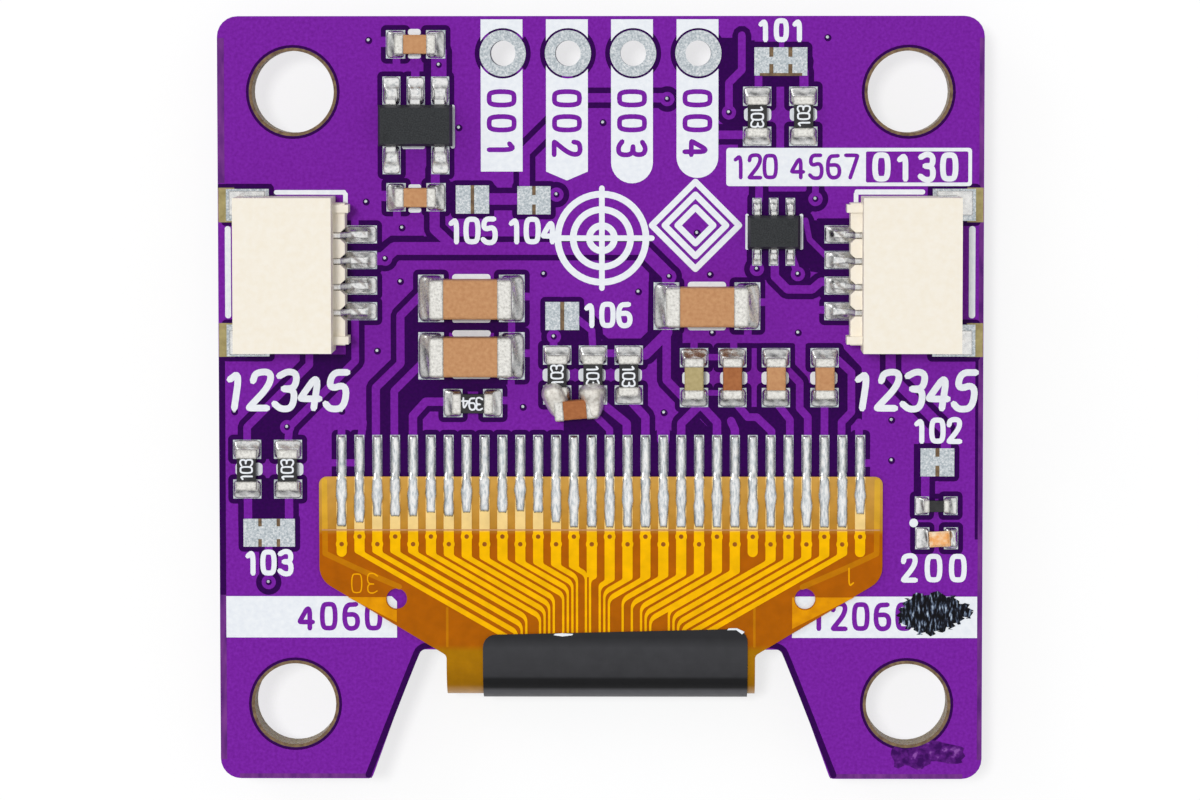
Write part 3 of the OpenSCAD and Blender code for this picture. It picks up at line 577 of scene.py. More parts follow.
# Narrow gaps and spokes, as (width, points)
GAPS = [
    (0.2, [(-0.7, 3.6), (-0.05, 2.95), (0, 2.5), (0.25, 2.28), (1.6, 2.28), (1.93, 2.6), (2, 5.2)]),
    (0.2, [(5.4, 2.1), (7.5, 2.1)]),
    (0.2, [(8.1, 2.1), (9.25, 2.1), (10.1, 1.2), (10.12, -0.8)]),
    (0.15, [(8.5, 7), (9.75, 7)]),
]
SPOKES = [
    (0.33, [(-7.22, 12.4), (-7.22, 13)]),
    (0.4, [(-8.2, 13.95), (-8.7, 13.95)]),
    (0.3, [(-7.95, 13.5), (-7.95, 13.1)]),
    (0.4, [(-8.2, 7.95), (-8.7, 7.95)]),
    (0.3, [(-7.95, 7.5), (-7.95, 7.1)]),
    (0.3, [(-9.6, 6.6), (-9.6, 7.1)]),
    (0.28, [(-3.48, 3.2), (-3.48, 2.6)]),
    (0.3, [(-3.1, 4.02), (-2.6, 4.02)]),
    (0.3, [(-3.1, 1.8), (-2.6, 1.8)]),
    (0.28, [(-3.5, 1), (-3.5, 0.5)]),
    (0.3, [(-4, -0.05), (-3.6, -0.05)]),
    (0.5, [(2.45, -0.9), (2.45, -1.6)]),
    (0.28, [(3.65, 1.8), (3.65, 2.4)]),
    (0.28, [(5.2, 1.8), (5.2, 2.4)]),
    (0.25, [(4.1, 1.65), (4.8, 1.65)]),
    (0.22, [(4.1, 0.25), (4.8, 0.25)]),
    (0.3, [(6.1, 3.8), (6.6, 3.8)]),
    (0.3, [(5.75, 2.9), (5.75, 2.4)]),
    (0.3, [(8.9, 3.5), (8.4, 3.5)]),
    (0.2, [(7.05, 13.6), (7.05, 14.2)]),
    (0.3, [(-10.15, -0.9), (-10.15, -1.6)]),
    (0.3, [(-9.3, -0.9), (-9.4, -1.6)]),
    (0.28, [(-10.8, -2.5), (-9.4, -2.5)]),
    (0.3, [(10.1, -0.9), (10.1, -1.6)]),
    (0.3, [(10.2, -2.5), (10.7, -2.5)]),
]
# Vias in the nets and in the pour round them
NET_VIAS = [
    (-8.42, 5.5), (-6.3, 13.05), (-1.72, 8), (2.6, 11.72), (5, 11.2), (8.38, 7.83), (-12.28, -1.1),
    (-13.03, -7.2), (-1.83, 2.45), (6.1, 5.1), (7.7, 4.9), (2.68, 4.8),
]
POUR_VIAS = [
    (-9.03, 14), (-5.52, 10.6), (-9.15, 7.71), (-7.75, 6.7), (0.1, 10.8), (3.77, 6.5), (8.85, 14.1),
    (-14.33, -0.5), (-10.13, -0.48), (-8.73, 1.88), (-7.82, 4.6), (-2.22, 4.9), (1.48, 4.2),
    (-3.03, -0.32), (2.48, -0.53), (4.28, 4.87), (4.37, 2.6), (7.72, 2.6), (11.38, -0.82),
    (11.38, -2.4),
]
VIA_R = 0.28
VIA_BORE_R = 0.12
POUR_VIA_BORE_R = 0.14
HEADER_CLEAR_R = 1.09
HEADER_RING_R = 0.7
# Spokes that tie the first header ring to the pour: from and to these radii
SPOKE_FROM, SPOKE_TO = 0.8, 1.2
# Dark ring and, inside it, the cut rim round each mounting hole
HOLE_CLEARANCE = 0.23
CUT_RIM = 0.12
# Dark strips along the board's side edges, as boxes (x0, y0, x1, y1)
EDGE_STRIPS = [(-14.94, -7.7, -14.7, 1.7), (14.64, -5.5, 14.76, 1.7)]
# Line beside the notch on the right; its mirror image lies on the left
NOTCH_LINE = [(9.14, -14.81), (7.32, -10.15), (7.1, -9.72), (6.3, -9.62)]


def copper_gaps():
    """Dark places where the mask lies on bare laminate."""
    gaps = Layer("mask_over_laminate", TOP + GAP_LAYER)
    for x0, y0, x1, y1 in islands("tinned_pads"):
        gaps.add(rounded_box(x0 - PAD_GAP, y0 - PAD_GAP, x1 + PAD_GAP, y1 + PAD_GAP, PAD_GAP))
    gaps.discs(HEADER, HEADER_CLEAR_R, 48)
    gaps.strokes(NETS, 2 * NET_GAP)
    gaps.discs(NET_VIAS, VIA_R + NET_GAP)
    for outline in VOIDS:
        gaps.add(outline)
    gaps.strokes(GAPS)
    gaps.strokes(NETS + SPOKES, keep=False)
    gaps.discs(NET_VIAS, VIA_R, keep=False)
    gaps.discs(HEADER, HEADER_RING_R, keep=False)
    for turn in (45, 135, 225, 315):
        spoke = [arc(*HEADER[0], r, turn, turn, 1)[0] for r in (SPOKE_FROM, SPOKE_TO)]
        gaps.stroke(spoke, 0.3, keep=False)
    for hole in HOLES:
        gaps.ring(hole, HOLE_R + HOLE_CLEARANCE, HOLE_R)
    gaps.boxes(EDGE_STRIPS)
    for side in (-1, 1):
        gaps.stroke(softened([(side * x, y) for x, y in NOTCH_LINE]), 0.24)
    gaps.discs(POUR_VIAS, POUR_VIA_BORE_R, 12)
    gaps.discs(NET_VIAS, VIA_BORE_R, 12)
    gaps.object(DEEP)


def via_specks():
    """Bright spots in the small vias."""
    specks = Layer("via_specks", TOP + OPENING_LAYER)
    specks.discs([(x - 0.02, y + 0.03) for x, y in POUR_VIAS + NET_VIAS], 0.06, 8)
    specks.object(TIN)


# ---- Print ----

# Strokes of the plain digits in use, one unit high and 0.6 wide, and whether they close
DIGITS = {
    "0": ([(0.3, 1), (0.04, 0.95), (0.04, 0.05), (0.3, 0), (0.56, 0.05), (0.56, 0.95)], True),
    "1": ([(0.12, 0.8), (0.36, 1), (0.36, 0)], False),
    "2": ([(0.06, 0.76), (0.1, 1), (0.54, 1.02), (0.54, 0.62), (0.06, 0.02), (0.06, 0), (0.56, 0)], False),
    "3": ([(0.06, 0.9), (0.3, 1.04), (0.56, 0.95), (0.54, 0.55), (0.24, 0.54), (0.24, 0.54),
           (0.56, 0.5), (0.56, 0), (0.25, -0.04), (0.04, 0.12)], False),
    "4": ([(0.56, 0.26), (0.04, 0.26), (0.04, 0.3), (0.44, 1), (0.44, 0)], False),
    "5": ([(0.52, 1), (0.1, 1), (0.07, 0.52), (0.56, 0.68), (0.58, 0), (0.2, -0.04), (0.04, 0.12)], False),
    "6": ([(0.5, 0.98), (0.04, 0.95), (0.04, 0), (0.56, 0), (0.56, 0.58), (0.06, 0.56)], False),
    "7": ([(0.04, 1), (0.56, 1), (0.56, 0.94), (0.24, 0)], False),
    "9": ([(0.1, 0.02), (0.56, 0.05), (0.56, 1), (0.04, 1), (0.04, 0.42), (0.54, 0.44)], False),
}


def digits(layer, text, x, y, height, pitch, weight, turn=0, lean=0.0):
    """Digits from their lower left corner (x, y), turned by so many degrees."""
    c, s = math.cos(math.radians(turn)), math.sin(math.radians(turn))
    for i, digit in enumerate(text):
        path, closed = DIGITS[digit]
        path = softened(path, 2, closed)
        local = [(i * pitch + (px + lean * py) * height, py * height) for px, py in path]
        path = [(x + c * u - s * v, y + s * u + c * v) for u, v in local]
        layer.stroke(path, weight, closed, steps=3)


# White banners as (middle, lower end, shape of the end, digits)
BANNERS = [(-3.855, 8.9, "square", "001"), (-1.31, 8.9, "point", "002"),
           (1.225, 8.44, "round", "003"), (3.775, 8.65, "round", "004")]
BANNER_TOP = 14.82
BANNER_W = 1.63
BANNER_CLEAR_R = 0.98
BANNER_DIGITS_Y = 12.05


def print_banners(white, purple):
    """White banners with pin numbers under the header pads."""
    w = BANNER_W / 2
    for (x, end, style, text), hole in zip(BANNERS, HEADER):
        foot = {
            "square": [(x + w, end), (x - w, end)],
            "point": [(x + w, end), (x, end - 0.35), (x - w, end)],
            "round": arc(x, end + w, w, 0, -180),
        }[style]
        white.add([(x - w, BANNER_TOP), (x + w, BANNER_TOP)] + foot)
        white.discs([hole], BANNER_CLEAR_R, 48, keep=False)
        digits(purple, text, x - 0.5, BANNER_DIGITS_Y, 1.0, 0.97, 0.19, turn=-90)


# White digits on the mask as (digits, x, y, height, pitch)
LABELS = [
    ("105", -5.95, 6.15, 0.9, 0.66), ("104", -3.6, 6.15, 0.9, 0.66), ("101", 6.15, 14.02, 0.75, 0.66),
    ("106", -0.65, 2.88, 0.85, 0.66), ("102", 12.25, -1.65, 0.85, 0.66),
    ("103", -13.95, -6.85, 0.85, 0.66), ("200", 11.8, -7.1, 0.95, 0.95),
]
# Left ends of the leaning digits below the sockets
SOCKET_LABELS = (-14.85, 9.72)
ADDRESS_BOX = (4.9, 8.33, 14.47, 9.82)
ADDRESS_WINDOW = (10.34, 8.47, 14.33, 9.68)
# Bars that reach under the ribbon
LEFT_BAR = [(-14.7, -7.75), (-14.7, -9.38), (-8.0, -9.38), (-8.0, -7.95), (-8.2, -7.75)]
RIGHT_BAR = [(14.75, -7.75), (7.5, -7.75), (7.5, -9.38), (14.75, -9.38)]
# Purple digits in the box and the bars as (digits, x, y, height, pitch, line width)
DARK_LABELS = [
    ("120", 5.15, 8.66, 0.87, 0.6, 0.15), ("4567", 7.42, 8.66, 0.87, 0.7, 0.15),
    ("4060", -11.85, -9.02, 0.97, 0.88, 0.19), ("12060", 8.2, -9.02, 0.97, 0.85, 0.19),
]


def print_labels(white, purple):
    """Numbers beside the jumpers and the lamp, the address box and the two bars."""
    for text, x, y, height, pitch in LABELS:
        digits(white, text, x, y, height, pitch, 0.2)
    for x in SOCKET_LABELS:
        digits(white, "12345", x, -0.35, 1.4, 1.0, 0.26, lean=0.15)
    white.add(rounded_box(*ADDRESS_BOX, 0.12))
    white.cut(rounded_box(*ADDRESS_WINDOW, 0.06))
    digits(white, "0130", 10.66, 8.6, 0.95, 0.88, 0.22)
    white.add(LEFT_BAR)
    white.add(RIGHT_BAR)
    for text, x, y, height, pitch, weight in DARK_LABELS:
        digits(purple, text, x, y, height, pitch, weight)


# White bars as (x0, y0, x1, y1)
BARS = [
    (-14.68, 3.17, -14.45, 6.77), (14.37, 3.17, 14.62, 6.77), (-5.85, 9.8, -5.68, 11.5),
    (-7.75, 9.78, -6.85, 9.95), (7.76, 5.85, 7.9, 7.25), (5.65, 5.85, 5.78, 7.25),
    (9.9, 8, 12.65, 8.2), (9.87, 7.6, 10.05, 8.1), (-12.75, 8, -9.93, 8.18),
    (-10.05, 7.2, -9.87, 8.1), (-7.5, 14.2, -7, 14.45), (-7.5, 13.3, -7, 13.5),
    (-7.5, 8.2, -7, 8.4), (-7.5, 7.3, -7, 7.5), (-5.8, 4.6, -4.3, 4.9), (-5.8, 3, -4.3, 3.2),
    (-5.8, 2.45, -4.3, 2.7), (-5.8, 0.8, -4.3, 1), (3.4, 4.3, 4.9, 4.6), (3.4, 2.7, 4.9, 2.95),
]
# Middles of the small parts that show a bit of print on both sides
SIDE_BARS = [(-1.74, 0.95), (-0.34, 0.95), (1.08, 0.95), (6.12, 11.12), (7.9, 11.12), (-13.78, -2.75),
             (-12.18, -2.75), (3.72, 0.83), (5.2, 0.83), (6.82, 0.83), (8.72, 0.83)]
TARGET = (0.05, 6.3)
DIAMONDS = (3.7, 6.8)
LAMP_DOT = (12.25, -4.85)


def print_marks(white):
    """Bars, outlines, the ringed cross, the nested diamonds and the lamp's dot."""
    for x0, y0, x1, y1 in BARS:
        white.add(rounded_box(x0, y0, x1, y1, min(x1 - x0, y1 - y0) * 0.45))
    for x, y in SIDE_BARS:
        white.add(rounded_box(x - 0.53, y - 0.25, x + 0.53, y + 0.25, 0.14))
    for r in (1.85, 1.25, 0.62):
        white.ring(TARGET, r, r - 0.26)
    x, y = TARGET
    white.stroke([(x, y - 1.95), (x, y + 1.95)], 0.22)
    white.stroke([(x - 1.95, y), (x + 1.95, y)], 0.22)
    x, y = DIAMONDS
    for reach in (0.7, 1.2, 1.7):
        white.stroke([(x, y + reach), (x + reach, y), (x, y - reach), (x - reach, y)], 0.24, True)
    white.discs([LAMP_DOT], 0.17)


def print_layers():
    white = Layer("silkscreen", TOP + PRINT_LAYER)
    purple = Layer("digits_in_print", TOP + DIGIT_LAYER)
    print_banners(white, purple)
    print_labels(white, purple)
    print_marks(white)
    white.object(SILK_AND_HIGHLIGHT)
    purple.object(MASK)


def ragged(outline, depth):
    """The outline with small waves of the given depth along it."""
    return [(x + depth * math.sin(9.1 * i), y + depth * math.sin(5.3 * i + 1))
            for i, (x, y) in enumerate(outline)]


BLOT = [(11.6, -8.5), (11.9, -7.95), (12.3, -7.62), (13.5, -7.6), (14.1, -7.95), (14.75, -8.35),
        (14.2, -8.65), (13.8, -8.95), (13.4, -9.1), (12.8, -9.3), (12.2, -9.05), (11.7, -8.8)]
SCUFFS = [(11.3, -13.7), (12, -13.75), (13, -13.4), (14.2, -13.6), (14.3, -14.1), (13.9, -14.5),
          (13.2, -14.1), (12.7, -14.6), (12, -14.4), (11.6, -14.6)]


def wear():
    """Black marker, streaked with painted reflections, over the end of the right bar, and scuffs beside
    the lower right hole.
    """
    blot = Layer("marker_blot_with_painted_sheen", TOP + BLOT_LAYER)
    blot.add(ragged(softened(BLOT, 3, True), 0.09))
    blot.object(INK_AND_PAINTED_SHEEN)
    scuffs = Layer("scuffs", TOP + SCUFF_LAYER)
    scuffs.add(ragged(softened(SCUFFS, 2, True), 0.06))
    scuffs.discs([HOLES[2]], HOLE_R + CUT_RIM, 48, keep=False)
    scuffs.object(SCUFF)


# Value code of each resistor and how far it is turned
CODES = ["103"] * 7 + ["394"]
CODE_TURNS = [90, -90, -90, -90, 90, 90, 90, 180]
CODE_HEIGHT = 0.46
CODE_PITCH = 0.28


def print_codes():
    """White value codes on the middles of the resistors."""
    span = 2 * CODE_PITCH + 0.56 * CODE_HEIGHT
    for number, (text, turn) in enumerate(zip(CODES, CODE_TURNS), 1):
        low, high = (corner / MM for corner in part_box(f"resistor_{number}"))
        c, s = math.cos(math.radians(turn)), math.sin(math.radians(turn))
        x = (low.x + high.x) / 2 - (c * span - s * CODE_HEIGHT) / 2
        y = (low.y + high.y) / 2 - (s * span + c * CODE_HEIGHT) / 2
        code = Layer(f"resistor_code_{number}", high.z + CODE_LAYER, high.z - SINK)
        digits(code, text, x, y, CODE_HEIGHT, CODE_PITCH, 0.07, turn)
        code.object(SILK_AND_HIGHLIGHT)


# ---- Openings in the mask ----

# Bare places at the sockets' hold-downs, as (x0, y0, x1, y1)
HOLD_DOWNS = [(-14.93, 6.92, -14.3, 8.27), (-14.93, 1.66, -14.3, 2.98),
              (14.3, 6.92, 14.93, 8.27), (14.3, 1.66, 14.93, 2.98)]
# Gaps between jumper pads as (x and y of the middle, low and high end of a solder bridge)
JUMPER_GAPS = [
    (-5, 7.81, None), (-2.6, 7.78, (7.62, 7.98)), (6.65, 13.18, (13.08, 13.36)),
    (7.39, 13.18, (13.08, 13.36)), (-1.5, 3.26, None), (-13.36, -5.25, (-5.5, -5)),
    (-12.64, -5.25, (-5.5, -5)), (13.17, -2.47, (-2.6, -2.25)),
]
JUMPER_STRIP = (6.2, 12.62, 7.85, 12.73)
# Worn mask along the board's edges, as (x0, y0, x1, y1)
WORN_EDGES = [(-14.94, -14.2, -14.7, -7.7), (-14.94, 8.45, -14.68, 14.1), (14.76, -14.2, 14.93, 14.1),
              (-14.2, -14.93, -9, -14.76), (9, -14.93, 14.2, -14.76)]


def bare_laminate():
    """Openings at the sockets' hold-downs."""
    bare = Layer("bare_laminate", TOP + OPENING_LAYER)
    bare.boxes(HOLD_DOWNS)
    bare.object(LAMINATE)


def cut_laminate():
    """Cut rims round the mounting holes and gaps between the jumpers' pads."""
    rims = Layer("cut_laminate", TOP + OPENING_LAYER)
    for hole in HOLES:
        rims.ring(hole, HOLE_R + CUT_RIM, HOLE_R)
    rims.boxes([(x - 0.1, y - 0.55, x + 0.1, y + 0.55) for x, y, _ in JUMPER_GAPS])
    rims.object(CUT)


def jumper_marks():
    """Cut strip over one jumper and the bridges of solder in the gaps."""
    strip = Layer("jumper_strip", PAD_TOP + PAD_LAYER)
    strip.boxes([JUMPER_STRIP])
    strip.object(CUT)
    bridges = Layer("jumper_bridges", PAD_TOP + PAD_LAYER)
    for x, _, bridge in JUMPER_GAPS:
        if bridge:
            bridges.add(rounded_box(x - 0.22, bridge[0], x + 0.22, bridge[1], 0.08))
    bridges.object(TIN)


def worn_edges():
    edges = Layer("mask_at_the_rim", TOP + RIM_LAYER)
    edges.boxes(WORN_EDGES)
    edges.object(RIM)


# ---- Ribbon ----

FINGER_X = [(i - 14.5) * 0.7 for i in range(30)]
# Pale line near the film's right edge and beside the neck; mirror images lie on the left
EDGE_BAND = [(10.82, -3.2), (10.8, -6.05), (9.6, -6.62), (7.9, -7.36)]
NECK_BAND = [(6.02, -8.2), (6.02, -9.7)]
# Where the film covers the white bars, up to the edge of the film
FILM_OVER_BARS = [[(-9.92, -7.77), (-8, -8.76), (-8, -7.77)], [(9.92, -7.77), (7.5, -7.77), (7.5, -9.01)]]
LOCATOR_HOLES = [(-8, -7.85), (8, -7.85)]
LOCATOR_R = 0.42
FOIL_HOLE_Y = (-5.68, -5.38)
# Edge of the cover film, as (x0, y0, x1, y1)
COVER_EDGE = (-10.93, -5.145, 10.93, -5.095)
# Painted highlights as light threads along the tape's frayed front edge
FRAY_HIGHLIGHTS = [
    [(-1.85, -9.26), (-1.5, -9.3), (-1.1, -9.24), (-1.1, -9.18), (-1.5, -9.17), (-1.8, -9.2)],
    [(4.95, -9.06), (5.3, -9.04), (5.55, -9.2), (5.62, -9.1), (5.35, -8.97), (5, -8.99)],
]


def film_marks():
    """Pale bands and the numbers of the end fingers."""
    bands = Layer("film_bands", FILM_TOP + BAND_LAYER, FILM_TOP)
    for side in (-1, 1):
        bands.stroke([(side * x, y) for x, y in EDGE_BAND], 0.22)
        bands.stroke([(side * x, y) for x, y in NECK_BAND], 0.1)
    bands.object(AMBER)
    numbers = Layer("film_numbers", FILM_TOP + NUMBER_LAYER, FILM_TOP)
    digits(numbers, "30", -8.72, -6.85, 0.75, 0.62, 0.05, turn=180)
    digits(numbers, "1", 9.98, -6.62, 0.72, 0.62, 0.06, turn=180)
    numbers.object(LIT_FILM)


def film_over_print():
    """Lighter film over the white bars, with the two locator holes left open."""
    lit = Layer("film_over_print", FILM_TOP + ON_PRINT_LAYER, FILM_TOP)
    for outline in FILM_OVER_BARS:
        lit.add(outline)
    lit.discs(LOCATOR_HOLES, LOCATOR_R, 32, keep=False)
    lit.object(FILM_ON_PRINT)


def foil_holes():
    """A small hole in each finger, in two rows."""
    holes = Layer("foil_holes", FOIL_TOP + HOLE_LAYER, FILM_TOP)
    for i, x in enumerate(FINGER_X):
        holes.discs([(x, FOIL_HOLE_Y[i % 2])], 0.09, 12)
    holes.object(RUST)


def film_edges():
    """Edge of the cover film across the fingers, and painted highlights on the tape's frayed edge."""
    cover = Layer("cover_film_edge", FOIL_TOP + COVER_LAYER, FILM_TOP)
    cover.boxes([COVER_EDGE])
    cover.object(TAN)
    highlight_threads = Layer("tape_fray_highlights", FOIL_TOP + FRAY_HIGHLIGHT_LAYER, FOIL_TOP)
    for outline in FRAY_HIGHLIGHTS:
        highlight_threads.add(ragged(outline, 0.015))
    highlight_threads.object(SILK_AND_HIGHLIGHT)


# ---- Solder ----

def heap(points, faces, across, along, spot):
    """Closed lump; spot(u, t) gives x, y and the low and high level, for u -1..1 and t 0..1."""
    first = len(points)
    row = across + 1
    count = row * (along + 1)
    grid = [spot(2 * i / across - 1, j / along) for j in range(along + 1) for i in range(row)]
    points += [(x, y, low) for x, y, low, _ in grid]
    points += [(x, y, high) for x, y, _, high in grid]
    for j in range(along):
        for i in range(across):
            a = first + j * row + i
            faces.append([count + a, count + a + 1, count + a + row + 1, count + a + row])
            faces.append([a + row, a + row + 1, a + 1, a])
    loop = list(range(row))
    loop += [j * row + across for j in range(1, along + 1)]
    loop += [along * row + i for i in range(across - 1, -1, -1)]
    loop += [j * row for j in range(along - 1, 0, -1)]
    for a, b in zip(loop, loop[1:] + loop[:1]):
        faces.append([first + a, first + b, first + count + b, first + count + a])


def solder_piece(name, points, faces, stands_for, finish):
    """Lumps as one smooth piece in place of a CAD node."""
    mesh = bpy.data.meshes.new(name)
    mesh.from_pydata([(x * MM, y * MM, z * MM) for x, y, z in points], [], faces)
    mesh.shade_smooth()
    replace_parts(piece(name, mesh, finish), stands_for)


# Solder on the fingers: from one level on the pads to its own end on the ribbon
FINGER_HALF = 0.185
FINGER_START = -1.42
FINGER_ENDS = [-5, -4.85, -4.6, -4.6, -4.6, -4.45, -4.6, -4.45, -4.4, -4.45, -4.4, -4.45, -4.85]
FINGER_ENDS += [-5.03] * 16 + [-4.5]
FILM_EDGE = -2.86
CLIMB = 0.3


def finger_shape(number, middle, end):
    """Solder on one finger: even on its pad, wavy and lower on the ribbon, with a bulge."""
    def spot(u, t):
        y = FINGER_START + (end - FINGER_START) * t
        rise = min(max((FILM_EDGE - y) / CLIMB, 0), 1)
        wide = 1 + (0.08 + 0.1 * math.sin(2.3 * number + 14 * t)) * rise
        wide += 0.16 * math.exp(-((t - 0.66 - 0.05 * (number % 3)) / 0.05) ** 2)
        wide *= 1 - 0.3 * (2 * t - 1) ** 18
        low = PAD_TOP - SINK + rise * (FOIL_TOP - PAD_TOP)
        tall = (0.1 - 0.02 * rise) * (1 + 0.15 * math.sin(3.1 * number + 9 * t))
        dome = (1 - u * u) ** 0.75 * (1 - (2 * t - 1) ** 20) ** 0.5
        return middle - u * FINGER_HALF * wide, y, low, low + 0.012 + tall * dome
    return spot


def finger_solder():
    """Solder on all fingers and their pads, as one piece."""
    points, faces = [], []
    for number, (middle, end) in enumerate(zip(FINGER_X, FINGER_ENDS)):
        heap(points, faces, 10, 44, finger_shape(number, middle, end))
    solder_piece("finger_solder", points, faces, "ribbon_solder", STREAKED)


# Parts on pads, as (node, height and spread of the solder round each foot)
FEET = [
    ("resistor_ends", 0.15, 0.36), ("capacitor_ends", 0.18, 0.4), ("large_capacitor_ends", 0.3, 0.6),
    ("led_resistor_ends", 0.12, 0.24), ("led_ends", 0.2, 0.4), ("regulator_leads", 0.12, 0.3),
    ("level_shifter_leads", 0.1, 0.22), ("left_contacts", 0.18, 0.3), ("right_contacts", 0.18, 0.3),
]
LEAST_OVERLAP = 0.005


def overlap(a, b):
    """Shared box of two boxes, or None."""
    shared = (max(a[0], b[0]), max(a[1], b[1]), min(a[2], b[2]), min(a[3], b[3]))
    meets = shared[2] > shared[0] + LEAST_OVERLAP and shared[3] > shared[1] + LEAST_OVERLAP
    return shared if meets else None


def joint_shape(pad, foot, height, spread):
    """Thin solder over a pad that climbs hollow-sided to the foot on it."""
    middle = ((pad[0] + pad[2]) / 2, (pad[1] + pad[3]) / 2)
    half = ((pad[2] - pad[0]) / 2 - 0.01, (pad[3] - pad[1]) / 2 - 0.01)
    phase = 7 * middle[0] + 3 * middle[1]

    def spot(u, t):
        v = 2 * t - 1
        x = middle[0] + half[0] * u * (1 - 0.12 * v ** 8)
        y = middle[1] + half[1] * v * (1 - 0.12 * u ** 8)
        away = math.hypot(max(foot[0] - x, x - foot[2], 0), max(foot[1] - y, y - foot[3], 0)) / spread
        climb = height * max(1 - away, 0) ** 2 * (1 + 0.12 * math.sin(phase + 6 * u + 4 * v))
        film = 0.045 * ((1 - u ** 6) * (1 - v ** 6)) ** 0.5
        rim = ((1 - u ** 10) * (1 - v ** 10)) ** 0.5
        return x, y, PAD_TOP - SINK, PAD_TOP + 0.006 + film + climb * rim
    return spot


def joints():
    """Solder joints of all parts, as one piece."""
    points, faces = [], []
    pads = islands("tinned_pads")
    for name, height, spread in FEET:
        for body in islands(name):
            for pad in pads:
                foot = overlap(body, pad)
                if foot:
                    heap(points, faces, 20, 20, joint_shape(pad, foot, height, spread))
    solder_piece("solder_joints", points, faces, "joint_solder", SOLDER)


# Lumps of hand soldering as (start, end, half width, how much narrower the end is, height)
LUMPS = [((-1.86, 0.26), (-1.6, -0.34), 0.44, 0.35, 0.88), ((-0.31, 0.2), (-0.25, -0.27), 0.5, 0.7, 0.98)]


def lump_shape(start, end, wide, taper, tall):
    """Rounded lump along a line, narrower towards its end."""
    length = math.dist(start, end)
    along = ((end[0] - start[0]) / length, (end[1] - start[1]) / length)

    def spot(u, t):
        reach = (2 * t - 1) * (length / 2 + wide)
        beyond = max(abs(reach) - length / 2, 0) / wide
        side = u * wide * max(1 - beyond ** 2, 0.03) ** 0.5
        side *= (1 + 0.08 * math.sin(5 * t + wide * 40)) * (1.08 - taper * max(t - 0.25, 0))
        x = (start[0] + end[0]) / 2 + along[0] * reach + along[1] * side
        y = (start[1] + end[1]) / 2 + along[1] * reach - along[0] * side
        dome = max(1 - u ** 4, 0) ** 0.5 * max(1 - beyond ** 4, 0) ** 0.5
        return x, y, PAD_TOP - SINK, PAD_TOP + tall * dome * (1 + 0.1 * math.sin(7 * t))
    return spot


def hand_soldering():
    """Two lumps that hold the added capacitor to the ends of two resistors."""
    points, faces = [], []
    for lump in LUMPS:
        heap(points, faces, 20, 28, lump_shape(*lump))
    solder_piece("hand_soldering", points, faces, "added_solder", HAND_SOLDER)


copper_gaps()
via_specks()
print_layers()
wear()
print_codes()
bare_laminate()
cut_laminate()
jumper_marks()
worn_edges()
film_marks()
film_over_print()
foil_holes()
film_edges()
finger_solder()
joints()
hand_soldering()


# ---- Studio ----

# Mirrored sky: from its dark to its bright height, and how bright it is there
SKY = {"From Min": 0.1, "From Max": 0.95, "To Min": 0.1, "To Max": 1.15}
FLOOR_GLOW = 0.71
FLOOR_SHADE = 0.3
FLOOR_REACH = 2.0
# Camera: x, y and height over the board, how it leans in radians, and its lens
CAMERA_PLACE = (2.396, 13.658, 200)
CAMERA_LEAN = (-0.06834, 0.01208, -0.0005)
CAMERA_LENS = 153.76


def background(tree, strength, colour=(0.8, 0.8, 0.8, 1)):
    node = tree.nodes.new("ShaderNodeBackground")
    node.inputs["Color"].default_value = colour
    node.inputs["Strength"].default_value = strength
    return node


def mixed(tree, factor, first, second):
    """Shader that goes from the first to the second as the factor goes from 0 to 1."""
    mix = tree.nodes.new("ShaderNodeMixShader")
    tree.links.new(factor, mix.inputs["Fac"])
    tree.links.new(first, mix.inputs[1])
    tree.links.new(second, mix.inputs[2])
    return mix.outputs[0]


def open_view(tree):
    """1 where the camera looks, straight or through glass."""
    rays = tree.nodes.new("ShaderNodeLightPath")
    seen = tree.nodes.new("ShaderNodeMath")
    seen.operation = "MAXIMUM"
    tree.links.new(rays.outputs["Is Camera Ray"], seen.inputs[0])
    tree.links.new(rays.outputs["Is Transmission Ray"], seen.inputs[1])
    return seen.outputs[0]


def surroundings():
    """Even fill light, a sky for metal to mirror, and a pale backdrop for the camera."""
    world = bpy.data.worlds.new("studio")
    bpy.context.scene.world = world
    world.use_nodes = True
    tree = world.node_tree
    tree.nodes.clear()
    fill = background(tree, 0.5, (0.97, 0.98, 1.0, 1))
    seen = background(tree, 1.0)
    mirrored = background(tree, 1.0)
    height = tree.nodes.new("ShaderNodeSeparateXYZ")
    tree.links.new(tree.nodes.new("ShaderNodeTexCoord").outputs["Generated"], height.inputs[0])
    sky = tree.nodes.new("ShaderNodeMapRange")
    for socket, value in SKY.items():
        sky.inputs[socket].default_value = value
    tree.links.new(height.outputs["Z"], sky.inputs["Value"])
    tree.links.new(sky.outputs[0], mirrored.inputs["Strength"])
    glossy = tree.nodes.new("ShaderNodeLightPath").outputs["Is Glossy Ray"]
    light = mixed(tree, glossy, fill.outputs[0], mirrored.outputs[0])
    out = tree.nodes.new("ShaderNodeOutputWorld")
    tree.links.new(mixed(tree, open_view(tree), light, seen.outputs[0]), out.inputs["Surface"])


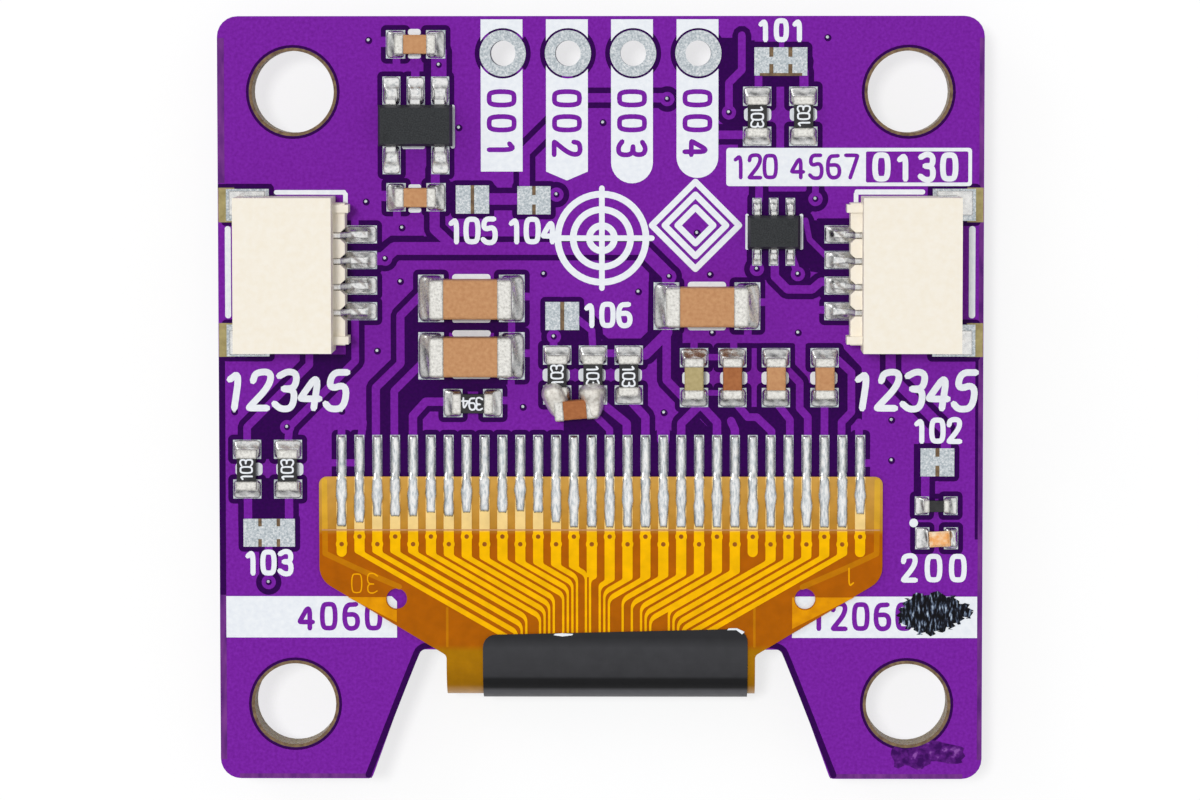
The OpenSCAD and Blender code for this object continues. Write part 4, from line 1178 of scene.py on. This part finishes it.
def floor():
    """Pale floor that glows for the camera only and keeps the shadow."""
    r = FLOOR_REACH
    mesh = bpy.data.meshes.new("floor")
    mesh.from_pydata([(-r, -r, 0), (r, -r, 0), (r, r, 0), (-r, r, 0)], [], [(0, 1, 2, 3)])
    obj = bpy.data.objects.new("floor", mesh)
    bpy.context.scene.collection.objects.link(obj)
    paper = Finish("floor_paper", rough=0.9, gloss=0.0)
    seen = open_view(paper.tree)
    glow = paper.add("ShaderNodeMath", operation="MULTIPLY")
    paper.join(seen, glow.inputs[0])
    glow.inputs[1].default_value = FLOOR_GLOW
    paper.set("Emission Color", (1, 1, 1, 1))
    paper.join(glow.outputs[0], paper.shader.inputs["Emission Strength"])
    shade = paper.add("ShaderNodeMix", data_type="RGBA")
    paper.join(seen, shade.inputs["Factor"])
    shade.inputs[6].default_value = (0.8, 0.8, 0.8, 1)
    shade.inputs[7].default_value = (FLOOR_SHADE, FLOOR_SHADE, FLOOR_SHADE, 1)
    paper.paint(shade.outputs[2])
    mesh.materials.append(paper.material)


def lamp(name, at, size, power, gloss=True):
    """Square soft lamp that faces the object."""
    data = bpy.data.lights.new(name, "AREA")
    data.shape = "SQUARE"
    data.size = size
    data.energy = power
    obj = bpy.data.objects.new(name, data)
    bpy.context.scene.collection.objects.link(obj)
    obj.location = at
    obj.rotation_euler = (-Vector(at)).to_track_quat("-Z", "Y").to_euler()
    obj.visible_glossy = gloss


def camera():
    """Camera high over the header holes, leaning back to the middle of the board."""
    data = bpy.data.cameras.new("camera")
    data.sensor_width = 36
    data.lens = CAMERA_LENS
    data.clip_start = 0.005
    data.clip_end = 10
    obj = bpy.data.objects.new("camera", data)
    bpy.context.scene.collection.objects.link(obj)
    x, y, height = CAMERA_PLACE
    obj.location = (x * MM, y * MM, (TOP + height) * MM)
    obj.rotation_euler = CAMERA_LEAN
    bpy.context.scene.camera = obj


surroundings()
floor()
lamp("key", (-0.12, 0.1, 0.8), 0.12, 3.2, gloss=False)
lamp("side", (-0.5, 0.45, 0.5), 0.25, 0.5)
camera()
bpy.context.scene.view_settings.view_transform = "Standard"
